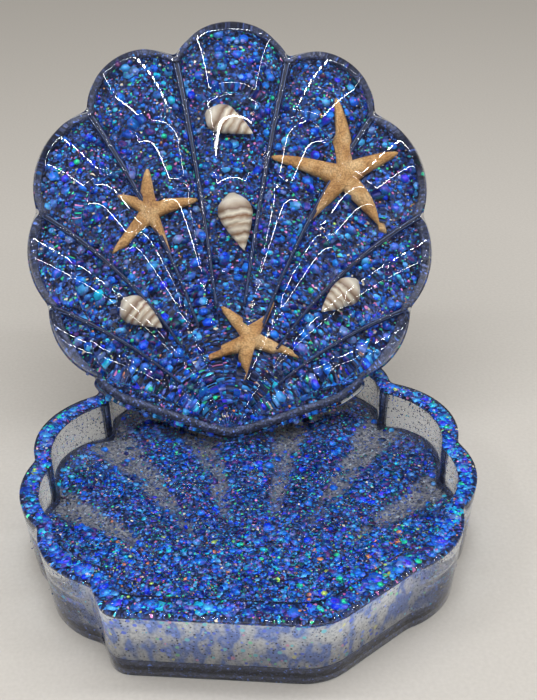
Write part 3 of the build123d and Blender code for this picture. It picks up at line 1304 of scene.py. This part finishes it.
    def flakes(self) -> bpy.types.Object:
        """Builds all the loose flakes of the lid.

        Returns:
            The object.
        """
        cloud = FlakeCloud(11)
        for count, margin, in_ribs, look in LID_FLAKES:
            cloud.scatter(self.inside(count, cloud.rng, margin, in_ribs), self.facing(), look)
        piece = cloud.build("lid_flakes_loose", Body.LID, Slot.FLAKES, self.finishes.flakes)
        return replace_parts(piece, "lid_flakes")


# Flakes along the rim: how many, their heights, share of the wall kept clear on each side, look
RIM_FLAKES = (
    (260, (22.3, 22.7), 0.28, FlakeLook((2.4, 3.8), 0.1, (0.14, 0.90))),
    (650, (22.2, 22.85), 0.18, FlakeLook((1.2, 2.0), 0.18, (0.04, 0.95))),
    (1500, (22.1, 22.95), 0.10, FlakeLook((0.5, 1.0), 0.35, (0.2, 1.0))),
    (700, (21.8, 22.95), 0.08, FlakeLook((0.35, 0.55), 0.5, (0.8, 1.0))),
)
# Flakes on the floor: how many, depth of their layer, look
FLOOR_FLAKES = (
    (300, 0.7, FlakeLook((2.0, 3.2), 0.3, (0.0, 0.26))),
    (260, 0.7, FlakeLook((1.9, 2.9), 0.3, (0.15, 0.82))),
    (1900, 0.8, FlakeLook((1.1, 1.8), 0.45, (0.0, 0.90))),
    (3200, 0.8, FlakeLook((0.55, 1.0), 0.6, (0.0, 0.98))),
    (3600, 0.8, FlakeLook((0.3, 0.5), 0.6, (0.84, 1.0))),
)
# Brighter flakes on the front of the floor, a third of them wide and the others fine
FRONT_WIDE = FlakeLook((1.0, 2.0), 0.3, (0.30, 0.96))
FRONT_FINE = FlakeLook((0.35, 0.8), 0.5, (0.5, 1.0))
# Single grains in the clear walls: how many, look
WALL_SPECKS = (
    (4500, FlakeLook((0.25, 0.5), 1.0, (0.0, 0.3))),
    (700, FlakeLook((0.3, 0.6), 1.0, (0.3, 1.0))),
)


@dataclass
class Tray:
    """The open tray: scalloped clear walls, flakes at the rim and on the floor, a dark foot."""

    finishes: Finishes
    outline: ShellOutline = field(default_factory=tray_outline)
    hollow: ShellOutline = field(default_factory=lambda: tray_outline(nose_back=3.2))
    floor_plan: ShellOutline = ShellOutline()
    height: float = 23.2
    foot_inset: float = 2.1
    foot_top: float = 6.0
    wall: float = 5.5
    # How far the hollow stands to the front
    forward: float = 1.0
    # The rounding of its edges, and how far that has come in halfway round
    edge: float = 0.6
    edge_half: float = 0.18
    floor_top: float = 9.2
    floor_form: RibForm = RibForm(fullness=0.13, fall=0.0, tip_fall=0.0)
    # The gap between the casting's faces and the pieces inside it
    skin: float = 0.5
    # The front of the floor, which has more flakes: how many are tried, how deep they lie and how
    # far from the tip it ends
    front_count: int = 5200
    front_depth: float = 0.5
    front_end: float = 52.0

    def __post_init__(self) -> None:
        """Works out the rings of the tray and the heights of its floor."""
        self.ring = self.outline.rays().end
        self.inner = self.hollow.scaled(self.hollow.rays().end, self.wall)
        self.inner[:, 1] -= self.forward
        self.out_of = -inward(self.inner)
        self.heart = self.inner.mean(0)
        t = np.linspace(0, 1, 100)
        rays = self.floor_plan.rays()
        flat = ray_points(self.floor_plan, rays, t)
        heights = rib_heights(self.floor_plan, rays, t, self.floor_form)
        share = np.abs(np.repeat(rays.share, len(t)))
        self.samples = np.column_stack([heights.ravel(), share])
        self.tree = KDTree(len(self.samples))
        for i, (x, y) in enumerate(flat.reshape(-1, 2)):
            self.tree.insert((x, y, 0), i)
        self.tree.balance()

    def floor_at(self, places: np.ndarray) -> np.ndarray:
        """Height of the floor's ribs and the share across the rib at places (side, along)."""
        return self.samples[[self.tree.find((x, y, 0))[1] for x, y in places]]

    def bare_at(self, places: np.ndarray) -> np.ndarray:
        """How bare of blue flakes the floor is: mostly in the valleys and away from the nose.

        Args:
            places: Points (side, along).

        Returns:
            Shares from 0 to 1.
        """
        side, along = places[:, 0], places[:, 1]
        away = np.hypot(side, along)
        # Bare from halfway between a rib's middle and its valley, and beyond 32 mm from the tip
        valley = np.clip((self.floor_at(places)[:, 1] - 0.50) / 0.3, 0, 1)
        outer = np.clip((away - 32) / 40, 0, 1)
        # More so towards the sides, in patches 15 to 30 mm long, and a little along the back
        sideways = 0.6 + 0.4 * np.clip(np.abs(side) / 45, 0, 1)
        wander = 0.5 + 0.5 * np.sin(side * 0.31 + 1.7 * np.sin(along * 0.23)) * np.sin(along * 0.37)
        edge = 0.45 * np.clip((away - 80) / 40, 0, 1)
        return np.clip((valley * outer * sideways + edge) * (0.75 + 0.6 * wander), 0, 1)

    def to_frame(self, flat: np.ndarray, z: float | np.ndarray) -> np.ndarray:
        """Places (side, along) at a height, in the part's frame."""
        z = np.broadcast_to(np.asarray(z, float), (len(flat),))
        return np.column_stack([flat[:, 0], flat[:, 1] - self.outline.middle, z])

    def outer(self, z: float, inset: float = 0.0) -> np.ndarray:
        """The outer wall's ring at a height, inset by a small edge."""
        ring = self.outline.scaled(self.ring, self.foot_inset * (1 - z / self.height))
        return self.to_frame(ring + inward(ring) * inset, z)

    def layer(
        self, name: str, steps: list[tuple[float | None, float]], slot: Slot, finish: bpy.types.Material
    ) -> bpy.types.Object:
        """Builds a closed body inside the outer wall, made of rings.

        Args:
            name: The object's name.
            steps: Pairs of an inset from the outer wall, or None for the middle, and a height.
            slot: The record's material slot.
            finish: Its material.

        Returns:
            The object.
        """
        middle = np.tile([0.0, self.outline.middle], (len(self.ring), 1))
        rows = [self.to_frame(middle, z) if inset is None else self.outer(z, inset) for inset, z in steps]
        return make_mesh(name, np.concatenate(rows), row_faces(rows), Body.BASE, slot, finish)

    def casting(self) -> bpy.types.Object:
        """Builds the clear casting as one closed body: underside, walls, rim, hollow and floor.

        Returns:
            The object.
        """
        top, edge, half = self.height, self.edge, self.edge_half
        middle = np.array([0, self.outline.middle])
        under = self.outline.scaled(self.ring, self.foot_inset)
        rows = [self.to_frame(middle + (under - middle) * share, 0.0) for share in (0.0, 0.5, 0.9)]
        # The outer wall from the foot up: height, inset
        walls = ((0.0, edge), (half, half), (edge, 0.0), (6.0, 0.0), (12.0, 0.0), (18.0, 0.0))
        rows += [self.outer(z, inset) for z, inset in walls]
        rows += [self.outer(top - edge), self.outer(top - half, half), self.outer(top, edge)]
        # The rim's inner edge and the wall of the hollow, downwards: inset, height
        for inset, z in ((edge, top), (half, top - half), (0.0, top - edge), (0.0, 18.0), (0.0, 13.5)):
            rows.append(self.to_frame(self.inner + self.out_of * inset, z))
        # The floor, with a small rise where it meets the wall
        rise_from, rise = 0.96, 0.9
        for share in np.concatenate([[1.0, 0.99, 0.975], np.linspace(rise_from, 0, 60)]):
            flat = self.heart + (self.inner - self.heart) * share
            round_up = rise * max(0.0, (share - rise_from) / (1 - rise_from)) ** 2
            rows.append(self.to_frame(flat, self.floor_top + self.floor_at(flat)[:, 0] + round_up))
        points = np.concatenate(rows)
        piece = make_mesh("tray_clear", points, row_faces(rows), Body.BASE, Slot.CLEAR, self.finishes.clear)
        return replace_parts(piece, "tray_casting")

    def foot(self) -> bpy.types.Object:
        """Builds the dark last pour in the bottom of the tray, with a line where two batches met.

        Returns:
            The object.
        """
        top = self.foot_top - 0.1
        # Its underside, the groove of that line and its top: inset, height
        under = [(None, 0.3), (0.7, 0.3), (0.35, 0.6)]
        line = [(0.35, 2.3), (1.0, 2.4), (1.0, 2.75), (0.35, 2.85)]
        over = [(0.35, top - 0.2), (0.6, top), (None, top)]
        piece = self.layer("foot_bed", under + line + over, Slot.BLUE, self.finishes.foot)
        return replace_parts(piece, "foot_pour")

    def haze(self) -> bpy.types.Object:
        """Builds the haze just inside the outer wall, as a thin closed sheet.

        Returns:
            The object. Its cover attribute falls over 12 mm from the nose to the other walls.
        """
        heights, skin, deep = [6.2, 14.0, 21.3], self.skin, self.skin + 0.12
        steps = [(skin, z) for z in heights] + [(deep, z) for z in reversed(heights)] + [(skin, heights[0])]
        film = self.layer("wall_haze", steps, Slot.CLEAR, self.finishes.haze)
        along = vertex_places(film.data)[:, 1] / MM + self.outline.middle
        nose_end, fade, least, more = 26, 12, 0.05, 0.75
        set_attribute(film.data, "cover", least + more * np.clip((nose_end - along) / fade, 0, 1))
        return film

    def floor_bed(self) -> bpy.types.Object:
        """Builds the fine glitter and dust settled just under the floor.

        Returns:
            The object, with the bare attribute from bare_at.
        """
        edge_share, under, bottom = 0.985, 1.1, 6.9
        rows = []
        for share in np.linspace(0, edge_share, 60):
            flat = self.heart + (self.inner - self.heart) * share
            rows.append(self.to_frame(flat, self.floor_top + self.floor_at(flat)[:, 0] - under))
        edge = self.heart + (self.inner - self.heart) * edge_share
        for share in (1.0, 0.5, 0.0):
            rows.append(self.to_frame(self.heart + (edge - self.heart) * share, bottom))
        points, faces = np.concatenate(rows), row_faces(rows)
        piece = make_mesh("floor_glitter_bed", points, faces, Body.BASE, Slot.FLAKES, self.finishes.fine)
        flat = vertex_places(piece.data)[:, :2] / MM + (0, self.outline.middle)
        set_attribute(piece.data, "bare", self.bare_at(flat))
        return piece

    def notch_shade_columns(self) -> bpy.types.Object:
        """Builds dark columns behind each inner notch, where the wall is thickest: painted shade for the
        dark rim flakes and foot that the notch's curve bends into view.

        Returns:
            The object.
        """
        half_width, near, far, low, high = 2.1, self.skin, 1.6, 9.4, 21.4
        length = np.linalg.norm(np.roll(self.inner, -1, 0) - self.inner, axis=1)
        at = np.concatenate([[0], np.cumsum(length)])[:-1]
        rows, faces = [], []
        first = 0
        for number in VALLEYS:
            notch = self.hollow.scaled(self.hollow.valley_end(number)[None], self.wall)[0]
            notch = notch - (0, self.forward)
            nearest = int(np.argmin(np.hypot(*(self.inner - notch).T)))
            mine = np.flatnonzero(np.abs(at - at[nearest]) < half_width)
            face, behind = (self.inner[mine] + self.out_of[mine] * gap for gap in (near, far))
            loop = np.concatenate([face, behind[::-1]])
            count = len(loop)
            rows += [self.to_frame(loop, low), self.to_frame(loop, high)]
            faces += loop_faces([first, first + count], count)
            faces += [tuple(range(first, first + count))[::-1]]
            faces += [tuple(range(first + count, first + 2 * count))]
            first += 2 * count
        points = np.concatenate(rows)
        return make_mesh("notch_shade", points, faces, Body.BASE, Slot.FLAKES, self.finishes.foot)

    def rim_bed(self) -> bpy.types.Object:
        """Builds the fine glitter under the rim's flakes.

        Returns:
            The object.
        """
        low, high = 21.75, 22.1
        inner = self.inner + self.out_of * self.skin
        rows = [
            self.outer(low, self.skin),
            self.to_frame(inner, low),
            self.to_frame(inner, high),
            self.outer(high, self.skin),
            self.outer(low, self.skin),
        ]
        points, faces = np.concatenate(rows), row_faces(rows)
        return make_mesh("rim_glitter_bed", points, faces, Body.BASE, Slot.FLAKES, self.finishes.fine)

    def between(self, count: int, rng: np.random.Generator, heights: Point, edge: float) -> np.ndarray:
        """Random places inside the wall.

        Args:
            count: How many.
            rng: Source of random numbers.
            heights: Between which heights they are.
            edge: The share of the wall that stays clear at each of its faces.

        Returns:
            Places in the part's frame.
        """
        length = np.linalg.norm(np.roll(self.ring, -1, 0) - self.ring, axis=1)
        ray = rng.choice(len(self.ring), count, p=length / length.sum())
        share = rng.uniform(edge, 1 - edge, count)[:, None]
        z = rng.uniform(*heights, count)
        outer = self.outline.scaled(self.ring, self.foot_inset * 0.3)[ray]
        flat = outer * (1 - share) + self.inner[ray] * share + rng.normal(0, 0.1, (count, 2))
        return self.to_frame(flat, z)

    def on_floor(self, count: int, rng: np.random.Generator, depth: float) -> np.ndarray:
        """Random places just under the floor's surface, few where it is bare.

        Args:
            count: How many.
            rng: Source of random numbers.
            depth: How deep below the surface they reach.

        Returns:
            Places in the part's frame.
        """
        low, high = self.inner.min(0), self.inner.max(0)
        angles = np.arctan2(*(self.inner - self.heart).T)
        order = np.argsort(angles)
        reach = np.hypot(*(self.inner - self.heart).T)
        found: list[np.ndarray] = []
        total = 0
        while total < count:
            trial = rng.uniform(low, high, (count, 2))
            angle = np.arctan2(*(trial - self.heart).T)
            limit = np.interp(angle, angles[order], reach[order], period=2 * np.pi)
            trial = trial[np.hypot(*(trial - self.heart).T) < limit - 0.8]
            trial = trial[rng.uniform(0, 1, len(trial)) < 1 - 0.9 * self.bare_at(trial)]
            down = 0.3 + rng.uniform(0, 1, len(trial)) ** 1.5 * depth
            found.append(self.to_frame(trial, self.floor_top + self.floor_at(trial)[:, 0] - down))
            total += len(trial)
        return np.concatenate(found)[:count]

    def flakes(self) -> None:
        """Builds the flakes of the rim, the floor and the walls."""
        up = np.array([0.0, 0.0, 1.0])
        rim = FlakeCloud(21)
        for count, heights, edge, look in RIM_FLAKES:
            rim.scatter(self.between(count, rim.rng, heights, edge), up, look)
        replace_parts(rim.build("rim_flakes_loose", Body.BASE, Slot.FLAKES, self.finishes.flakes), "rim_flakes")

        floor = FlakeCloud(31)
        for count, depth, look in FLOOR_FLAKES:
            floor.scatter(self.on_floor(count, floor.rng, depth), up, look)
        front = self.on_floor(self.front_count, floor.rng, self.front_depth)
        front = front[front[:, 1] + self.outline.middle < self.front_end]
        third = len(front) // 3
        floor.scatter(front[:third], up, FRONT_WIDE)
        floor.scatter(front[third:], up, FRONT_FINE)
        loose = floor.build("floor_flakes_loose", Body.BASE, Slot.FLAKES, self.finishes.flakes)
        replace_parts(loose, "floor_flakes")

        specks = FlakeCloud(41)
        any_way = np.full(3, 0.001)
        for count, look in WALL_SPECKS:
            specks.scatter(self.between(count, specks.rng, (6.3, 21.6), 0.1), any_way, look)
        specks.build("wall_specks", Body.BASE, Slot.BLUE, self.finishes.flakes)

    def build(self) -> None:
        """Builds all the pieces of the tray."""
        self.casting()
        self.foot()
        self.haze()
        self.floor_bed()
        self.notch_shade_columns()
        self.rim_bed()
        self.flakes()


@dataclass
class Starfish:
    """A dried starfish set in the lid, made from its middle and five tips."""

    name: str
    middle: Point
    tips: tuple[Point, ...]
    # Width of an arm where it leaves the middle
    arm: float
    # Its place below the plane of the ribs' feet, and its height over an arm's width
    depth: float = 2.7
    height: float = 0.34
    # Radius of its middle over an arm's width, and how the arms taper
    disc: float = 0.56
    taper: float = 0.8
    taper_power: float = 1.15

    def half_width(self, s: np.ndarray) -> np.ndarray:
        """Half an arm's width at shares s of its length."""
        return self.arm / 2 * (1 - self.taper * s**self.taper_power)

    def covers(self, places: np.ndarray, margin: float) -> np.ndarray:
        """Finds which places lie within the starfish's plan.

        Args:
            places: Points (side, along).
            margin: How much wider the plan is taken.

        Returns:
            True for each place that it covers.
        """
        middle = np.array(self.middle)
        found = np.hypot(*(places - middle).T) < self.arm * self.disc + margin
        for tip in self.tips:
            line = np.array(tip) - middle
            s = np.clip((places - middle) @ line / float(line @ line), 0, 1)
            gap = np.hypot(*(places - middle - s[:, None] * line).T)
            found |= gap < self.half_width(s) + margin
        return found

    def reach(self, turn: np.ndarray) -> np.ndarray:
        """How far the star-shaped plan reaches from its middle.

        Args:
            turn: Angles to look along, from -pi to pi.

        Returns:
            The distance at each.
        """
        found = np.full(len(turn), self.arm * self.disc)
        s = np.linspace(0, 1, 200)
        width = self.half_width(s) * np.sqrt(np.clip(1 - s**14, 0, 1))
        for tip in np.array(self.tips) - np.array(self.middle):
            length = float(np.hypot(*tip))
            angle = math.atan2(tip[1], tip[0])
            away = np.abs((turn - angle + np.pi) % (2 * np.pi) - np.pi)
            edge = np.arctan2(width, np.maximum(length * s, 1e-6))
            far = np.hypot(length * s, width)
            found = np.maximum(found, np.interp(away, edge[::-1], far[::-1], right=0))
        return found

    def build(self, lid: Lid) -> bpy.types.Object:
        """Builds the starfish as one domed skin over a star-shaped plan.

        Args:
            lid: The lid that it is set in.

        Returns:
            The object.
        """
        turn = np.linspace(-np.pi, np.pi, 240, endpoint=False)
        reach = self.reach(turn)
        spokes = np.column_stack([np.cos(turn), np.sin(turn)]) * reach[:, None]
        rows = []
        for share in np.sqrt(np.linspace(0, 1, 26)):
            thin = np.clip(1.25 - 0.85 * reach * share / reach.max(), 0.25, 1.0)
            dome = self.arm * self.height * thin * np.sqrt(np.clip(1 - share**4, 0, 1))
            rows.append(np.column_stack([self.middle + spokes * share, dome - self.depth]))
        # A flat underside just below the skin's edge
        for share in (0.6, 0.0):
            under = np.full(len(turn), -self.depth - 0.05)
            rows.append(np.column_stack([self.middle + spokes * share, under]))
        points = lid.world(np.concatenate(rows))
        faces = row_faces(rows)
        piece = make_mesh(self.name + "_skin", points, faces, Body.LID, Slot.STARFISH, lid.finishes.star)
        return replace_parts(piece, self.name)


# The snails' profile: share of the length from the spire, radius over the greatest radius
SNAIL_PROFILE = (
    (0.0, 0.02),
    (0.05, 0.16),
    (0.28, 0.56),
    (0.44, 0.78),
    (0.56, 0.92),
    (0.68, 1.0),
    (0.82, 0.86),
    (0.93, 0.5),
    (1.0, 0.12),
)
# A coarser one, for what a snail covers in plan
SNAIL_PLAN = ((0.0, 0.1), (0.35, 0.65), (0.68, 1.0), (1.0, 0.5))


@dataclass
class Snail:
    """A small sea snail lying in the lid, from its mouth to its spire."""

    name: str
    mouth: Point
    spire: Point
    width: float
    depth: float = 1.0
    flatness: float = 0.62
    # How many whorls wind round it, how deep the groove between them is and where it ends
    whorls: float = 5.0
    groove: float = 0.05
    groove_end: float = 0.6

    def covers(self, places: np.ndarray, margin: float) -> np.ndarray:
        """Finds which places lie within the snail's plan.

        Args:
            places: Points (side, along).
            margin: How much wider the plan is taken.

        Returns:
            True for each place that it covers.
        """
        mouth, spire = np.array(self.mouth), np.array(self.spire)
        line = mouth - spire
        s = np.clip((places - spire) @ line / float(line @ line), 0, 1)
        gap = np.hypot(*(places - spire - s[:, None] * line).T)
        return gap < self.width / 2 * np.interp(s, *np.array(SNAIL_PLAN).T) + margin

    def build(self, lid: Lid) -> bpy.types.Object:
        """Builds the snail as a spun body whose whorls climb round it.

        Args:
            lid: The lid that it is set in.

        Returns:
            The object, with the turn attribute from 0 at the spire to 1 at the mouth.
        """
        mouth, spire = np.array(self.mouth), np.array(self.spire)
        length = float(np.hypot(*(mouth - spire)))
        ahead = (mouth - spire) / length
        side = np.array([-ahead[1], ahead[0]])
        x = np.linspace(0, 1, 90)
        around = np.linspace(0, 2 * np.pi, 40, endpoint=False)
        hull = np.interp(x, *np.array(SNAIL_PROFILE).T)
        hull = np.convolve(np.pad(hull, 6, "edge"), np.ones(7) / 7, "same")[6:-6]
        rows = []
        for u, r in zip(x, hull):
            coil = (u * self.whorls - around / (2 * np.pi)) % 1.0
            cut = self.groove * np.exp(-((np.minimum(coil, 1 - coil) / 0.10) ** 2)) * (u < self.groove_end)
            radius = self.width / 2 * r * (1 - cut)
            flat = spire + ahead * (length * u) + side * (radius * np.cos(around))[:, None]
            rows.append(np.column_stack([flat, -self.depth + radius * np.sin(around) * self.flatness]))
        count = len(around)
        last = (len(rows) - 1) * count
        faces = row_faces(rows) + [tuple(range(count))[::-1], tuple(range(last, last + count))]
        points = lid.world(np.concatenate(rows))
        piece = make_mesh(self.name + "_shell", points, faces, Body.LID, Slot.SNAIL, lid.finishes.snail)
        start, end = (lid.world(np.array([[*tip, 0.0]]))[0] * MM for tip in (spire, mouth))
        line = (end - start) / np.linalg.norm(end - start) ** 2
        set_attribute(piece.data, "turn", (vertex_places(piece.data) - start) @ line)
        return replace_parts(piece, self.name)


STARFISH = (
    Starfish(
        "starfish_large",
        middle=(37.5, 86.1),
        tips=((33.9, 112.5), (13.5, 92.5), (23.8, 69.0), (49.6, 68.1), (54.7, 93.3)),
        arm=7.9,
    ),
    Starfish(
        "starfish_left",
        middle=(-26.0, 74.1),
        tips=((-26.4, 88.3), (-37.5, 78.3), (-37.0, 60.6), (-17.6, 57.0), (-11.5, 77.8)),
        arm=6.5,
    ),
    Starfish(
        "starfish_lower",
        middle=(6.3, 32.5),
        tips=((-2.2, 43.1), (-7.4, 25.8), (4.9, 18.3), (21.4, 27.2), (14.8, 44.3)),
        arm=5.9,
    ),
)
SNAILS = (
    Snail("snail_top", mouth=(-7.4, 106.8), spire=(6.2, 99.8), width=9.6),
    Snail("snail_center", mouth=(0.2, 79.7), spire=(3.7, 61.3), width=10.4),
    Snail("snail_left", mouth=(-34.3, 44.2), spire=(-22.2, 35.3), width=9.0),
    Snail("snail_right", mouth=(41.1, 50.7), spire=(29.7, 40.6), width=9.0),
)


# Stage


@dataclass
class Studio:
    """Floor, lamps, world and camera."""

    # The camera's place in millimetres, its turn in degrees and its lens in millimetres
    camera_at: tuple[float, float, float] = (-2.507, -260.274, 212.914)
    camera_turn: tuple[float, float, float] = (59.4855, 1.1569, -2.6889)
    lens: float = 56.7
    # The rectangle of lamps, in metres
    strip_x: Point = (-0.50, 0.62)
    strip_y: Point = (-0.33, 0.02)
    strip_z: float = 0.62
    strip_width: float = 0.015
    # Watts for each square metre of lamp, over pi
    glow: float = 36.0
    # The sides that are rows of single lamps, counted from the front: how many, and their length
    dotted: tuple[int, ...] = (1, 2)
    dots: int = 20
    dot: float = 0.034
    air: str = "DCD9D4"
    bright: float = 0.74
    dim: float = 0.2
    floor_size: float = 6.0

    def floor(self) -> None:
        """A large pale floor."""
        bpy.ops.mesh.primitive_plane_add(size=self.floor_size, location=(0, 0.5, 0))
        floor = bpy.context.object
        floor.name = "studio_floor"
        floor.data.materials.append(PaleFloor().build())

    def lamp(
        self, name: str, at: tuple[float, float, float], size: Point, power: float, turn: float
    ) -> None:
        """Adds one flat lamp that shines straight down.

        Args:
            name: The lamp's name.
            at: Its place in metres.
            size: Its length and width in metres.
            power: Its power in watts.
            turn: Degrees about the vertical.
        """
        data = bpy.data.lights.new(name, "AREA")
        data.shape = "RECTANGLE"
        data.size, data.size_y = size
        data.energy = power
        lamp = bpy.data.objects.new(name, data)
        lamp.location = at
        lamp.rotation_euler = (0, 0, math.radians(turn))
        bpy.context.scene.collection.objects.link(lamp)

    def lights(self) -> None:
        """Puts strips of lamps round the top of a photo tent, which draw loops of light on the ribs."""
        (left, right), (front, back) = self.strip_x, self.strip_y
        corners = [(left, front), (right, front), (right, back), (left, back), (left, front)]
        for number, (start, end) in enumerate(zip(corners, corners[1:])):
            a, b = np.array(start), np.array(end)
            length = float(np.hypot(*(b - a)))
            turn = math.degrees(math.atan2(b[1] - a[1], b[0] - a[0]))
            count, reach = (self.dots, self.dot) if number in self.dotted else (1, length)
            power = self.glow * math.pi * self.strip_width * length / count
            for i in range(count):
                x, y = a + (b - a) * (i + 0.5) / count
                at = (x, y, self.strip_z)
                self.lamp(f"strip_{number}_{i}", at, (reach, self.strip_width), power, turn)

    def world(self) -> None:
        """Makes even, pale surroundings, dim where gloss mirrors them, like a dark room beyond a tent."""
        g = Graph(bpy.data.worlds.new("surroundings"))
        bright = g.add("Background", Color=srgb(self.air), Strength=self.bright)
        dim = g.add("Background", Color=srgb(self.air), Strength=self.dim)
        rays = g.add("LightPath").outputs
        mirrored = g.add(
            "Math",
            {"operation": "SUBTRACT", "use_clamp": True},
            i0=rays["Is Glossy Ray"],
            i1=rays["Is Transmission Ray"],
        )
        bpy.context.scene.world = g.surface(g.add("MixShader", i0=mirrored, i1=bright, i2=dim))

    def camera(self) -> None:
        """Puts the camera at the photo's angle."""
        data = bpy.data.cameras.new("camera")
        data.lens = self.lens
        data.clip_start, data.clip_end = 0.01, 20
        camera = bpy.data.objects.new("camera", data)
        camera.location = Vector(self.camera_at) * MM
        camera.rotation_euler = Euler([math.radians(a) for a in self.camera_turn])
        bpy.context.scene.collection.objects.link(camera)
        bpy.context.scene.camera = camera

    def build(self) -> None:
        """Sets up everything round the part."""
        self.floor()
        self.lights()
        self.world()
        self.camera()
        bpy.context.scene.view_settings.view_transform = "Standard"


def main() -> None:
    """Builds the part's pieces, then the stage."""
    logging.basicConfig(level=logging.INFO)
    finishes = Finishes()
    Tray(finishes).build()
    lid = Lid(ShellOutline(), finishes, [*STARFISH, *SNAILS])
    lid.casting()
    lid.bed()
    lid.groove_shades()
    lid.edge_shade_band()
    lid.flakes()
    for piece in lid.sealed:
        piece.build(lid)
    Studio().build()


if __name__ == "__main__":
    main()
